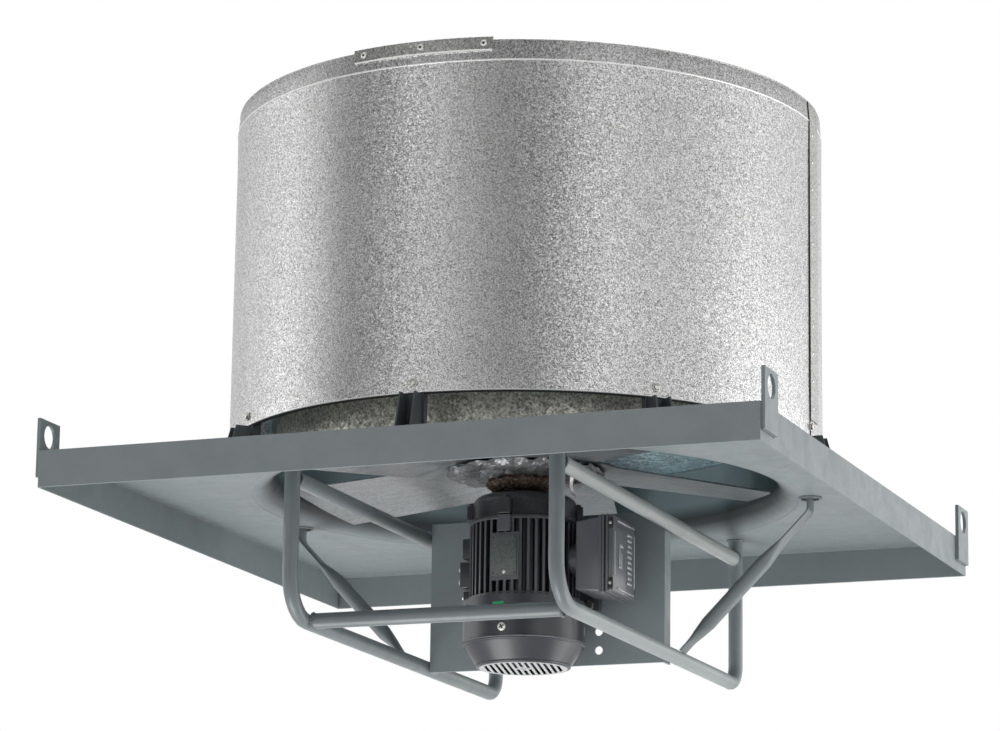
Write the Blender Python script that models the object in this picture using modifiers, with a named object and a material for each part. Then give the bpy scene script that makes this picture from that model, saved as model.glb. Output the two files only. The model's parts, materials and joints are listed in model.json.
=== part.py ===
"""Roof-mounted upblast exhaust fan: curb cap, windband, direct-drive motor and propeller.

Axes: X runs along the front skirt, Y runs from front to back, +Z is up. The origin is on the
fan's axis, in the plane of the cap plate's underside, where the fan sits on its roof curb.
"""

import math

import bmesh
import bpy
from mathutils import Matrix, Vector

NAME = "upblast_exhaust_fan"
GAP = 0.0003

# Curb cap: a folded pan of painted sheet steel.
CAP_SIDE = 1.016
CAP_SHEET = 0.002
SKIRT_DROP = 0.049
SKIRT_SHEET = 0.002
SIDES_ROUND = 72

# Inlet venturi: spun ring from the cap's opening up to the damper seat.
BELL_RADIUS = 0.389
BELL_CURVE = 0.036
THROAT_RADIUS = BELL_RADIUS - BELL_CURVE
THROAT_TOP = 0.098
THROAT_SHEET = 0.0015
SEAT_RADIUS = 0.362

# Windband: galvanised cylinder, held above the cap by channel brackets.
BAND_RADIUS = 0.421
BAND_SHEET = 0.0012
BAND_BOTTOM = 0.0655
BAND_FOLD = 0.5205
BAND_TOP = 0.549
BAND_LEAN = 0.0025
SEAM_ARC = 5.8
SPLICE_ARC = 28.0
SPLICE_BOTTOM = 0.534
SPLICE_TOP = 0.5535

# Brackets and their screws, one every 45 degrees.
BRACKET_COUNT = 8
BRACKET_WIDTH = 0.030
BRACKET_DEPTH = 0.012
BRACKET_SHEET = 0.0025
BRACKET_TOP = 0.094
SCREW_HEIGHT = 0.079
SCREW_SHANK = 0.0024
SCREW_HEAD = 0.0055

# Lifting lugs, welded to the side skirts at the corners.
LUG_WIDTH = 0.057
LUG_PLATE = 0.005
LUG_TOP = 0.048
LUG_BOTTOM = -0.034
LUG_HOLE = 0.016
LUG_HOLE_HEIGHT = 0.0265
LUG_INSET = 0.003

# Motor frame, bent from 1/2 inch steel pipe.
PIPE = 0.0213 / 2
FRAME_X = 0.1898
FRAME_Y = 0.3815
RUN_HEIGHT = -0.217
FRONT_BEND = 0.057
REAR_BEND = 0.028
UPPER_HEIGHT = -0.0295
CROSS_Y = -0.325
BRACE_FOOT_X = 0.390
BRACE_FOOT_Y = 0.101
BRACE_KNEE = -0.020
BRACE_END_Y = {"right": 0.112, "left": 0.045}

# Motor plate: a channel between the two side frames, with a spare hole pattern.
PLATE_FACE = 0.0892
PLATE_SHEET = 0.0035
PLATE_HALF = 0.1785
PLATE_FLANGE = 0.026
PLATE_TOP = -0.009
PLATE_BOTTOM = -0.226
SPARE_HOLE = 0.006
SPARE_X = 0.080
SPARE_HEIGHTS = (-0.205, -0.178)

# Motor: totally enclosed, fan cooled, shaft up, 3.5 inch shaft height.
FOOT_DEPTH = 0.0889
FOOT_BOLT_X = 0.0699
FOOT_BOLT_Z = (-0.041, -0.1426)
FOOT_HALF = 0.084
BOLT_SHANK = 0.004
FIN_RADIUS = 0.078
FIN_ROOT = 0.0685
FIN_COUNT = 44
STATOR_BORE = 0.0625
FRAME_TOP = -0.034
FRAME_BOTTOM = -0.148
SHAFT = 0.0111
SHAFT_REAR = 0.0085
SHAFT_TOP = 0.070
COVER_RADIUS = 0.0862
COVER_STEP = -0.2095
COVER_BOTTOM = -0.2415
COVER_SHEET = 0.0015
GRILLE_RADIUS = 0.064
GRILLE_PITCH = 0.0085
GRILLE_SLOT = 0.0045
GRILLE_TURN = math.radians(104)

# Terminal box on the motor's right side.
BOX_INNER_X = 0.0915
BOX_OUTER_X = 0.136
BOX_CENTRE_Z = -0.0915
BOX_INNER = (0.041, 0.0485)
BOX_OUTER = (0.047, 0.0540)
BOX_WALL = 0.004
GASKET = 0.002
BOX_COVER = 0.0115

# Propeller: five sheet blades on a flanged hub.
BLADE_COUNT = 5
BLADE_TIP = 0.3465
BLADE_ROOT = 0.052
BLADE_FULL = 0.105
BLADE_FIRST = math.radians(177.2)
BLADE_LEAD = 0.115
BLADE_TRAIL = 0.056
BLADE_TAB = 0.030
BLADE_SHEET = 0.0025
HUB_FLANGE = 0.075
HUB_FLANGE_TOP = 0.046
HUB_BARREL = 0.034

# Butterfly damper above the throat.
DOOR_RADIUS = 0.372
DOOR_SHEET = 0.0015
DOOR_REST = THROAT_TOP + 0.0005
ROD = 0.005
ROD_HEIGHT = 0.1095
HINGE_Y = 0.0115
SLEEVE = 0.0078
POST_X = 0.3575

PAINT = ("blue_grey_paint", (0.27, 0.33, 0.35), 0.45, 0.1)
ZINC = ("galvanised_sheet", (0.62, 0.64, 0.65), 0.42, 0.9)
STEEL = ("plain_steel", (0.50, 0.50, 0.50), 0.35, 1.0)
MOTOR_PAINT = ("motor_paint", (0.028, 0.030, 0.034), 0.45, 0.1)
CAST = ("cast_iron_brown", (0.16, 0.11, 0.07), 0.8, 0.4)
COPPER = ("copper_winding", (0.60, 0.28, 0.14), 0.4, 0.8)
RUBBER = ("black_rubber", (0.02, 0.02, 0.02), 0.8, 0.0)
PLASTIC = ("black_plastic", (0.03, 0.03, 0.03), 0.5, 0.0)

for old in list(bpy.data.objects):
    bpy.data.objects.remove(old, do_unlink=True)

PARTS = bpy.data.collections.new(NAME)
CUTTERS = bpy.data.collections.new("cutters")
bpy.context.scene.collection.children.link(PARTS)
bpy.context.scene.collection.children.link(CUTTERS)


# ---------------------------------------------------------------- helpers


def material(name, finish):
    kind, colour, roughness, metallic = finish
    made = bpy.data.materials.new(f"{name}_{kind}")
    made.use_nodes = True
    shader = made.node_tree.nodes["Principled BSDF"]
    shader.inputs["Base Color"].default_value = (*colour, 1.0)
    shader.inputs["Roughness"].default_value = roughness
    shader.inputs["Metallic"].default_value = metallic
    return made


def add(name, mesh, finish=None, smooth=35):
    """Adds a mesh as a part, or as a hidden cutter when it has no finish."""
    thing = bpy.data.objects.new(name, mesh)
    if finish is None:
        CUTTERS.objects.link(thing)
        thing.hide_render = True
        thing.display_type = "WIRE"
        return thing
    PARTS.objects.link(thing)
    mesh.materials.clear()
    mesh.materials.append(material(name, finish))
    if smooth:
        mesh.shade_smooth()
        mesh.set_sharp_from_angle(angle=math.radians(smooth))
    return thing


def to_mesh(name, form):
    mesh = bpy.data.meshes.new(name)
    form.normal_update()
    form.to_mesh(mesh)
    form.free()
    return mesh


def block(low, high):
    """A box between two corners, as a bmesh."""
    form = bmesh.new()
    bmesh.ops.create_cube(form, size=1.0)
    size = Vector(high) - Vector(low)
    bmesh.ops.scale(form, vec=size, verts=form.verts)
    bmesh.ops.translate(form, vec=(Vector(high) + Vector(low)) / 2, verts=form.verts)
    return form


def bar(start, end, radius, sides=16):
    """A round bar between two points, as a bmesh."""
    form = bmesh.new()
    axis = Vector(end) - Vector(start)
    turn = Vector((0, 0, 1)).rotation_difference(axis).to_matrix().to_4x4()
    place = Matrix.Translation((Vector(start) + Vector(end)) / 2) @ turn
    bmesh.ops.create_cone(
        form, cap_ends=True, segments=sides, radius1=radius, radius2=radius,
        depth=axis.length, matrix=place,
    )
    return form


def gather(forms):
    """One bmesh that holds several separate ones."""
    whole = bmesh.new()
    for form in forms:
        piece = to_mesh("piece", form)
        whole.from_mesh(piece)
        bpy.data.meshes.remove(piece)
    return whole


def cut(thing, cutter):
    step = thing.modifiers.new("cut", "BOOLEAN")
    step.operation = "DIFFERENCE"
    step.solver = "EXACT"
    step.object = cutter


def join(thing, other):
    step = thing.modifiers.new("join", "BOOLEAN")
    step.operation = "UNION"
    step.solver = "EXACT"
    step.object = other


def helper(name, form):
    return add(name, to_mesh(name, form))


def settled(thing, name, finish, smooth=35):
    """Replaces an object by the mesh that its modifiers or its curve make."""
    bpy.context.view_layer.update()
    graph = bpy.context.evaluated_depsgraph_get()
    mesh = bpy.data.meshes.new_from_object(thing.evaluated_get(graph))
    form = bmesh.new()
    form.from_mesh(mesh)
    bmesh.ops.remove_doubles(form, verts=form.verts, dist=0.000001)
    form.to_mesh(mesh)
    form.free()
    mesh.transform(thing.matrix_world)
    bpy.data.objects.remove(thing, do_unlink=True)
    mesh.name = name
    return add(name, mesh, finish, smooth)


def arc(x, z, radius, start, end, count):
    """Points on a circle, with angles in degrees from +X."""
    points = []
    for step in range(count + 1):
        angle = math.radians(start + (end - start) * step / count)
        points.append((x + radius * math.cos(angle), z + radius * math.sin(angle)))
    return points


def lathe(name, profile, finish, steps=SIDES_ROUND, closed=True):
    """Turns a profile of (radius, height) points about Z, outer side from top to bottom."""
    form = bmesh.new()
    corners = [form.verts.new((radius, 0, height)) for radius, height in profile]
    for one, two in zip(corners, corners[1:]):
        form.edges.new((one, two))
    if closed:
        form.edges.new((corners[-1], corners[0]))
    thing = add(name, to_mesh(name, form), finish, smooth=0)
    turn = thing.modifiers.new("turn", "SCREW")
    turn.axis = "Z"
    turn.angle = math.tau
    turn.steps = steps
    turn.render_steps = steps
    turn.use_merge_vertices = True
    turn.merge_threshold = 0.00001
    return settled(thing, name, finish)


def ring(name, outer, inner, bottom, top, finish, steps=48):
    profile = [(outer, top), (outer, bottom), (inner, bottom), (inner, top)]
    return lathe(name, profile, finish, steps)


def sector(name, profile, start, end, steps, finish):
    """A curved strip: a closed profile swept part of the way round Z, angles in degrees."""
    form = bmesh.new()
    corners = [form.verts.new((radius, 0, height)) for radius, height in profile]
    face = form.faces.new(corners)
    turn = Matrix.Rotation(math.radians(start), 3, "Z")
    bmesh.ops.rotate(form, cent=(0, 0, 0), matrix=turn, verts=form.verts)
    bmesh.ops.spin(
        form, geom=[face, *face.edges, *face.verts], cent=(0, 0, 0), axis=(0, 0, 1),
        angle=math.radians(end - start), steps=steps, use_duplicate=False,
    )
    bmesh.ops.remove_doubles(form, verts=form.verts, dist=0.00001)
    bmesh.ops.recalc_face_normals(form, faces=form.faces)
    return add(name, to_mesh(name, form), finish)


def sheet(name, outlines, thickness, place, finish):
    """A flat plate from closed outlines in its own XY plane; the inner outlines are holes."""
    curve = bpy.data.curves.new(name, "CURVE")
    curve.dimensions = "2D"
    curve.fill_mode = "BOTH"
    curve.extrude = thickness / 2
    for outline in outlines:
        spline = curve.splines.new("POLY")
        spline.points.add(len(outline) - 1)
        for point, (x, y) in zip(spline.points, outline):
            point.co = (x, y, 0, 1)
        spline.use_cyclic_u = True
    thing = bpy.data.objects.new(name, curve)
    PARTS.objects.link(thing)
    thing.matrix_world = place
    return settled(thing, name, finish)


def pipe(name, points, finish, radius=PIPE):
    curve = bpy.data.curves.new(name, "CURVE")
    curve.dimensions = "3D"
    curve.bevel_depth = radius
    curve.bevel_resolution = 5
    curve.use_fill_caps = True
    spline = curve.splines.new("POLY")
    spline.points.add(len(points) - 1)
    for point, place in zip(spline.points, points):
        point.co = (*place, 1)
    thing = bpy.data.objects.new(name, curve)
    PARTS.objects.link(thing)
    return settled(thing, name, finish)


def around(radius, degrees, height):
    angle = math.radians(degrees)
    return Vector((radius * math.cos(angle), radius * math.sin(angle), height))


# ---------------------------------------------------------------- curb cap and venturi


def curb_cap():
    half = CAP_SIDE / 2
    inside = half - SKIRT_SHEET
    outside = block((-half, -half, -SKIRT_DROP), (half, half, CAP_SHEET))
    pan = add("curb_cap", to_mesh("curb_cap", outside), PAINT)
    cut(pan, helper("cap_inside", block((-inside, -inside, -0.1), (inside, inside, 0))))
    opening = bar((0, 0, -0.05), (0, 0, 0.05), BELL_RADIUS + GAP, SIDES_ROUND)
    cut(pan, helper("cap_opening", opening))
    return pan


def inlet_venturi():
    inner = arc(BELL_RADIUS, BELL_CURVE, BELL_CURVE, 180, 270, 5)
    outer = arc(BELL_RADIUS, BELL_CURVE, BELL_CURVE - THROAT_SHEET, 270, 180, 5)
    top = [
        (THROAT_RADIUS + THROAT_SHEET, THROAT_TOP - THROAT_SHEET),
        (SEAT_RADIUS, THROAT_TOP - THROAT_SHEET),
        (SEAT_RADIUS, THROAT_TOP),
        (THROAT_RADIUS, THROAT_TOP),
    ]
    profile = list(reversed(inner + outer + top))
    return lathe("inlet_venturi", profile, ZINC)


# ---------------------------------------------------------------- windband


def screw_places():
    return [360.0 * step / BRACKET_COUNT for step in range(BRACKET_COUNT)]


def screw_holes():
    bars = []
    for degrees in screw_places():
        start = around(BAND_RADIUS - 0.012, degrees, SCREW_HEIGHT)
        end = around(BAND_RADIUS + 0.012, degrees, SCREW_HEIGHT)
        bars.append(bar(start, end, SCREW_SHANK + GAP, 12))
    return helper("screw_holes", gather(bars))


def windband(holes):
    outside = [
        (BAND_RADIUS - BAND_LEAN, BAND_TOP),
        (BAND_RADIUS, BAND_FOLD),
        (BAND_RADIUS, BAND_BOTTOM),
    ]
    inside = [(radius - BAND_SHEET, height) for radius, height in reversed(outside)]
    band = lathe("windband", outside + inside, ZINC)
    cut(band, holes)
    return band


def outer_strip(bottom, top, stand, thickness):
    """Profile of a strip that lies on the windband's outside, following its fold."""
    def wall(height):
        over = max(0.0, height - BAND_FOLD) / (BAND_TOP - BAND_FOLD)
        return BAND_RADIUS - BAND_LEAN * over
    heights = [bottom, top]
    if bottom < BAND_FOLD < top:
        heights = [bottom, BAND_FOLD, top]
    inner = [(wall(height) + stand, height) for height in heights]
    outer = [(wall(height) + stand + thickness, height) for height in reversed(heights)]
    return inner + outer


def seam_strip():
    """The lap of the windband's vertical joint; it stops above the screw of the right bracket."""
    profile = outer_strip(SCREW_HEIGHT + 0.010, BAND_TOP, GAP, BAND_SHEET)
    return sector("windband_seam_strip", profile, 0, SEAM_ARC, 3, ZINC)


def splice_plate():
    profile = outer_strip(SPLICE_BOTTOM, SPLICE_TOP, GAP, 0.002)
    half = SPLICE_ARC / 2
    return sector("rim_splice_plate", profile, -90 - half, -90 + half, 8, ZINC)


def band_bracket(index, degrees, holes):
    """Channel that stands on the cap; its web lies against the windband's inside."""
    outer = BAND_RADIUS - BAND_SHEET - 0.0010
    back = outer - BRACKET_SHEET
    tip = outer - BRACKET_DEPTH
    half = BRACKET_WIDTH / 2
    wall = half - BRACKET_SHEET
    outline = [
        (outer, -half), (outer, half), (tip, half), (tip, wall),
        (back, wall), (back, -wall), (tip, -wall), (tip, -half),
    ]
    bottom = CAP_SHEET + GAP
    place = Matrix.Rotation(math.radians(degrees), 4, "Z")
    place = place @ Matrix.Translation((0, 0, (bottom + BRACKET_TOP) / 2))
    bracket = sheet(f"band_bracket_{index}", [outline], BRACKET_TOP - bottom, place, PAINT)
    cut(bracket, holes)
    return bracket


def band_screw(index, degrees):
    """Hex-head screw through the windband into its bracket."""
    seat = BAND_RADIUS + GAP
    tip = around(seat - 0.009, degrees, SCREW_HEIGHT)
    shank = bar(tip, around(seat + 0.002, degrees, SCREW_HEIGHT), SCREW_SHANK, 10)
    under = around(seat, degrees, SCREW_HEIGHT)
    head = bar(under, around(seat + 0.0045, degrees, SCREW_HEIGHT), SCREW_HEAD, 6)
    screw = add(f"band_screw_{index}", to_mesh("screw", shank), STEEL)
    join(screw, helper(f"screw_head_{index}", head))
    return screw


# ---------------------------------------------------------------- lifting lugs


def lifting_lug(name, side, end):
    """Flat plate with a round hole; side is +1 at the right skirt, end is +1 at the back."""
    corner = end * (CAP_SIDE / 2 - LUG_INSET)
    inner = corner - end * LUG_WIDTH
    low, high = sorted((corner, inner))
    outline = [(low, LUG_BOTTOM), (high, LUG_BOTTOM), (high, LUG_TOP), (low, LUG_TOP)]
    hole = arc((low + high) / 2, LUG_HOLE_HEIGHT, LUG_HOLE, 0, 345, 23)
    x = side * (CAP_SIDE / 2 + GAP + LUG_PLATE / 2)
    # The outline's X and Y become the object's Y and Z.
    turn = Matrix(((0, 0, 1, x), (1, 0, 0, 0), (0, 1, 0, 0), (0, 0, 0, 1)))
    return sheet(name, [outline, hole], LUG_PLATE, turn, PAINT)


# ---------------------------------------------------------------- motor frame


def side_frame(name, side):
    x = side * FRAME_X
    top = -GAP
    front = arc(-FRAME_Y + FRONT_BEND, RUN_HEIGHT + FRONT_BEND, FRONT_BEND, 180, 270, 7)
    rear = arc(FRAME_Y - REAR_BEND, RUN_HEIGHT + REAR_BEND, REAR_BEND, 270, 360, 6)
    path = [(-FRAME_Y, top), *front, *rear, (FRAME_Y, top)]
    return pipe(name, [(x, y, z) for y, z in path], PAINT)


def upper_tube(name, side):
    reach = FRAME_Y - PIPE - GAP
    x = side * FRAME_X
    return pipe(name, [(x, -reach, UPPER_HEIGHT), (x, reach, UPPER_HEIGHT)], PAINT)


def cross_tube():
    reach = FRAME_X - PIPE - GAP
    ends = [(-reach, CROSS_Y, RUN_HEIGHT), (reach, CROSS_Y, RUN_HEIGHT)]
    return pipe("frame_cross_tube", ends, PAINT)


def loft(name, stations, finish, sides=12):
    """Skins oval sections; a station is (centre, half along Y, half across, travel direction)."""
    form = bmesh.new()
    loops = []
    for centre, along, across, travel in stations:
        width = Vector((0, 1, 0))
        width = (width - travel * width.dot(travel)).normalized()
        depth = travel.cross(width).normalized()
        loop = []
        for step in range(sides):
            angle = math.tau * step / sides
            place = centre + width * along * math.cos(angle) + depth * across * math.sin(angle)
            loop.append(form.verts.new(place))
        loops.append(loop)
    for one, two in zip(loops, loops[1:]):
        for step in range(sides):
            after = (step + 1) % sides
            form.faces.new((one[step], one[after], two[after], two[step]))
    form.faces.new(list(reversed(loops[0])))
    form.faces.new(loops[-1])
    bmesh.ops.recalc_face_normals(form, faces=form.faces)
    return add(name, to_mesh(name, form), finish)


def brace(name, side, end_y):
    """Diagonal pipe with flattened ends, from the cap down to the outside of a bottom run."""
    foot = Vector((side * BRACE_FOOT_X, BRACE_FOOT_Y, -GAP))
    knee = Vector((side * BRACE_FOOT_X, BRACE_FOOT_Y, BRACE_KNEE))
    run = Vector((side * FRAME_X, end_y, RUN_HEIGHT))
    slope = (run - knee).normalized()
    square = Vector((slope.x, 0, slope.z))
    end = run - slope * ((PIPE + 0.0012) / square.length)
    down = Vector((0, 0, -1))
    flat = (0.0145, 0.0030)
    blend = (0.0128, 0.0068)
    full = (PIPE, PIPE)
    span = end - knee
    stations = [
        (foot, *flat, down),
        (knee - down * 0.004, *flat, down),
        (knee + slope * 0.003, *flat, (slope + down).normalized()),
        (knee + span * 0.20, *flat, slope),
        (knee + span * 0.27, *blend, slope),
        (knee + span * 0.36, *full, slope),
        (knee + span * 0.80, *full, slope),
        (knee + span * 0.88, *blend, slope),
        (knee + span * 0.94, *flat, slope),
        (end, *flat, square.normalized()),
    ]
    return loft(name, stations, PAINT)


# ---------------------------------------------------------------- motor plate and its bolts


def foot_bolt_places():
    return [(side * FOOT_BOLT_X, height) for side in (-1, 1) for height in FOOT_BOLT_Z]


def foot_holes():
    bars = []
    for x, height in foot_bolt_places():
        bars.append(bar((x, 0.05, height), (x, 0.12, height), BOLT_SHANK + GAP, 14))
    return helper("foot_holes", gather(bars))


def motor_plate(holes):
    front = PLATE_FACE
    back = PLATE_FACE + PLATE_SHEET
    tip = front + PLATE_FLANGE
    half = PLATE_HALF
    wall = half - PLATE_SHEET
    outline = [
        (-half, front), (half, front), (half, tip), (wall, tip),
        (wall, back), (-wall, back), (-wall, tip), (-half, tip),
    ]
    place = Matrix.Translation((0, 0, (PLATE_TOP + PLATE_BOTTOM) / 2))
    plate = sheet("motor_plate", [outline], PLATE_TOP - PLATE_BOTTOM, place, PAINT)
    cut(plate, holes)
    spares = []
    for side in (-1, 1):
        for height in SPARE_HEIGHTS:
            x = side * SPARE_X
            spares.append(bar((x, front - 0.02, height), (x, back + 0.02, height), SPARE_HOLE, 20))
    cut(plate, helper("spare_holes", gather(spares)))
    return plate


def foot_bolt(index, x, height):
    """Hex bolt through a motor foot and the plate, with its nut behind the plate."""
    head_seat = FOOT_DEPTH - 0.011 - GAP
    nut_seat = PLATE_FACE + PLATE_SHEET + GAP
    shank = bar((x, head_seat - 0.003, height), (x, nut_seat + 0.009, height), BOLT_SHANK, 12)
    bolt = add(f"motor_bolt_{index}", to_mesh("bolt", shank), STEEL)
    head = bar((x, head_seat - 0.0055, height), (x, head_seat, height), 0.0072, 6)
    nut = bar((x, nut_seat, height), (x, nut_seat + 0.0065, height), 0.0072, 6)
    join(bolt, helper(f"bolt_ends_{index}", gather([head, nut])))
    return bolt


# ---------------------------------------------------------------- motor


def fin_outline():
    """Outline of the ribbed barrel: each rib is four points, with a groove beside it."""
    points = []
    pitch = 360.0 / FIN_COUNT
    rib = ((FIN_ROOT, -0.26), (FIN_RADIUS, -0.17), (FIN_RADIUS, 0.17), (FIN_ROOT, 0.26))
    for step in range(FIN_COUNT):
        middle = step * pitch
        for radius, turn in rib:
            angle = math.radians(middle + turn * pitch)
            points.append((radius * math.cos(angle), radius * math.sin(angle)))
    return points


def motor_housing(holes):
    height = FRAME_TOP - FRAME_BOTTOM
    place = Matrix.Translation((0, 0, (FRAME_TOP + FRAME_BOTTOM) / 2))
    housing = sheet("motor_housing", [fin_outline()], height, place, MOTOR_PAINT)
    web = 0.008
    extras = []
    for side in (-1, 1):
        low_x, high_x = sorted((side * 0.048, side * FOOT_HALF))
        foot_low = (low_x, FOOT_DEPTH - 0.011, FRAME_BOTTOM - 0.001)
        extras.append(block(foot_low, (high_x, FOOT_DEPTH, FRAME_TOP + 0.001)))
        low_x, high_x = sorted((side * 0.047, side * (0.047 + web)))
        web_low = (low_x, 0.030, FRAME_BOTTOM + 0.002)
        extras.append(block(web_low, (high_x, FOOT_DEPTH - 0.004, FRAME_TOP - 0.002)))
    for index, form in enumerate(extras):
        join(housing, helper(f"motor_foot_{index}", form))
    pad = block((-0.021, -0.0795, -0.1275), (0.021, -0.060, -0.0605))
    join(housing, helper("nameplate_pad", pad))
    boss = block((-0.009, -0.0835, -0.0585), (0.009, -0.060, FRAME_TOP - 0.0015))
    join(housing, helper("housing_boss", boss))
    neck = bar((0.060, 0, BOX_CENTRE_Z), (BOX_INNER_X - GAP, 0, BOX_CENTRE_Z), 0.024, 24)
    join(housing, helper("box_neck", neck))
    bore = bar((0, 0, FRAME_BOTTOM - 0.01), (0, 0, FRAME_TOP + 0.01), STATOR_BORE, 40)
    cut(housing, helper("stator_bore", bore))
    lead = bar((0.050, 0, BOX_CENTRE_Z), (0.10, 0, BOX_CENTRE_Z), 0.015, 20)
    cut(housing, helper("lead_hole", lead))
    cut(housing, holes)
    return housing


def drive_end_bell():
    seat = FRAME_TOP + GAP
    shoulder = arc(0.060, -0.012, 0.014, 80, 0, 5)
    profile = [
        (0.0117, 0.0100), (0.026, 0.0100), (0.031, 0.0045), *shoulder,
        (0.074, seat), (0.0665, seat), (0.0665, -0.012), (0.032, -0.005),
        (0.032, -0.020), (0.0263, -0.020), (0.0263, -0.0030), (0.0117, -0.0030),
    ]
    bell = lathe("drive_end_bell", profile, MOTOR_PAINT, 36)
    boss = block((-0.009, -0.0835, seat), (0.009, -0.066, -0.0110))
    join(bell, helper("bell_boss", boss))
    return bell


def fan_end_bell():
    seat = FRAME_BOTTOM - GAP
    profile = [
        (0.074, seat), (0.074, -0.156), (0.030, -0.160), (0.026, -0.172),
        (0.0093, -0.172), (0.0093, -0.169), (0.0203, -0.169), (0.0203, -0.154),
        (0.062, seat),
    ]
    bell = lathe("fan_end_bell", profile, MOTOR_PAINT, 36)
    reach = COVER_RADIUS - COVER_SHEET - 0.0006
    for index, degrees in enumerate((0, 90, 180, 270)):
        post = block((0.066, -0.007, -0.206), (reach, 0.007, -0.1495))
        turn = Matrix.Rotation(math.radians(degrees), 3, "Z")
        bmesh.ops.rotate(post, cent=(0, 0, 0), matrix=turn, verts=post.verts)
        join(bell, helper(f"cover_post_{index}", post))
    return bell


def grille_slots():
    """Parallel slots that fill the round end of the fan cover."""
    reach = GRILLE_RADIUS - 0.006
    count = int(reach / GRILLE_PITCH)
    slots = []
    for step in range(-count, count + 1):
        offset = step * GRILLE_PITCH
        half = math.sqrt(reach ** 2 - offset ** 2)
        low = (-half, offset - GRILLE_SLOT / 2, COVER_BOTTOM - 0.004)
        slot = block(low, (half, offset + GRILLE_SLOT / 2, COVER_BOTTOM + 0.004))
        turn = Matrix.Rotation(GRILLE_TURN, 3, "Z")
        bmesh.ops.rotate(slot, cent=(0, 0, 0), matrix=turn, verts=slot.verts)
        slots.append(slot)
    return helper("grille_slots", gather(slots))


def fan_cover():
    mouth = FRAME_BOTTOM - GAP
    outside = [
        (COVER_RADIUS, mouth),
        (COVER_RADIUS, COVER_STEP),
        (COVER_RADIUS - 0.0018, COVER_STEP - 0.003),
        (GRILLE_RADIUS + 0.0025, COVER_BOTTOM + 0.003),
        (GRILLE_RADIUS, COVER_BOTTOM),
        (0, COVER_BOTTOM),
    ]
    inside = [
        (0, COVER_BOTTOM + COVER_SHEET),
        (GRILLE_RADIUS - 0.0008, COVER_BOTTOM + COVER_SHEET),
        (GRILLE_RADIUS + 0.0008, COVER_BOTTOM + 0.0037),
        (COVER_RADIUS - 0.0035, COVER_STEP - 0.0025),
        (COVER_RADIUS - COVER_SHEET, COVER_STEP + 0.0005),
        (COVER_RADIUS - COVER_SHEET, mouth),
        (COVER_RADIUS, mouth),
    ]
    cover = lathe("fan_cover", outside + inside, MOTOR_PAINT, 40, closed=False)
    cut(cover, grille_slots())
    return cover


def cooling_fan():
    """Small plastic fan on the shaft's lower end, inside the cover."""
    bore = SHAFT_REAR + GAP
    profile = [
        (0.058, -0.1835), (0.058, -0.1865), (0.016, -0.1865), (0.016, -0.205),
        (bore, -0.205), (bore, -0.1835),
    ]
    fan = lathe("cooling_fan", profile, PLASTIC, 32)
    vanes = []
    for step in range(7):
        vane = block((0.012, -0.0012, -0.2035), (0.056, 0.0012, -0.185))
        turn = Matrix.Rotation(math.tau * step / 7, 3, "Z")
        bmesh.ops.rotate(vane, cent=(0, 0, 0), matrix=turn, verts=vane.verts)
        vanes.append(vane)
    for index, vane in enumerate(vanes):
        join(fan, helper(f"fan_vane_{index}", vane))
    return fan


def motor_shaft():
    profile = [
        (0, SHAFT_TOP), (SHAFT - 0.001, SHAFT_TOP), (SHAFT, SHAFT_TOP - 0.001), (SHAFT, -0.152),
        (SHAFT_REAR, -0.152), (SHAFT_REAR, -0.212), (0, -0.212),
    ]
    return lathe("motor_shaft", profile, STEEL, 24, closed=False)


def motor_insides():
    ring("stator", STATOR_BORE - GAP - 0.0002, 0.040, -0.136, -0.046, COPPER, 36)
    ring("rotor_core", 0.0394, SHAFT + GAP, -0.134, -0.048, STEEL, 32)
    ring("drive_end_bearing", 0.0260, SHAFT + GAP, -0.0185, -0.0034, STEEL, 32)
    ring("fan_end_bearing", 0.0200, SHAFT_REAR + GAP, -0.1686, -0.1566, STEEL, 32)


# ---------------------------------------------------------------- terminal box


def tapered_block(low_x, high_x, low_half, high_half, centre_z):
    """A block whose half sizes along Y and Z change from its inner to its outer face."""
    form = bmesh.new()
    bmesh.ops.create_cube(form, size=2.0)
    for corner in form.verts:
        outer = corner.co.x > 0
        half_y, half_z = high_half if outer else low_half
        x = high_x if outer else low_x
        corner.co = Vector((x, corner.co.y * half_y, centre_z + corner.co.z * half_z))
    return form


def terminal_box():
    outer = tapered_block(BOX_INNER_X, BOX_OUTER_X, BOX_INNER, BOX_OUTER, BOX_CENTRE_Z)
    box = add("terminal_box", to_mesh("terminal_box", outer), MOTOR_PAINT)
    low_half = tuple(half - BOX_WALL for half in BOX_INNER)
    high_half = tuple(half - BOX_WALL for half in BOX_OUTER)
    floor = BOX_INNER_X + BOX_WALL
    hollow = tapered_block(floor, BOX_OUTER_X + 0.001, low_half, high_half, BOX_CENTRE_Z)
    cut(box, helper("box_hollow", hollow))
    start = (BOX_INNER_X - 0.01, 0, BOX_CENTRE_Z)
    end = (BOX_INNER_X + 0.01, 0, BOX_CENTRE_Z)
    cut(box, helper("box_lead_hole", bar(start, end, 0.015, 20)))
    return box


def rectangle(half_x, half_y):
    return [(-half_x, -half_y), (half_x, -half_y), (half_x, half_y), (-half_x, half_y)]


def box_gasket():
    half_y, half_z = BOX_OUTER
    x = BOX_OUTER_X + GAP + GASKET / 2
    turn = Matrix(((0, 0, 1, x), (1, 0, 0, 0), (0, 1, 0, BOX_CENTRE_Z), (0, 0, 0, 1)))
    outlines = [rectangle(half_y, half_z), rectangle(half_y - BOX_WALL, half_z - BOX_WALL)]
    return sheet("terminal_box_gasket", outlines, GASKET, turn, RUBBER)


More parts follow.
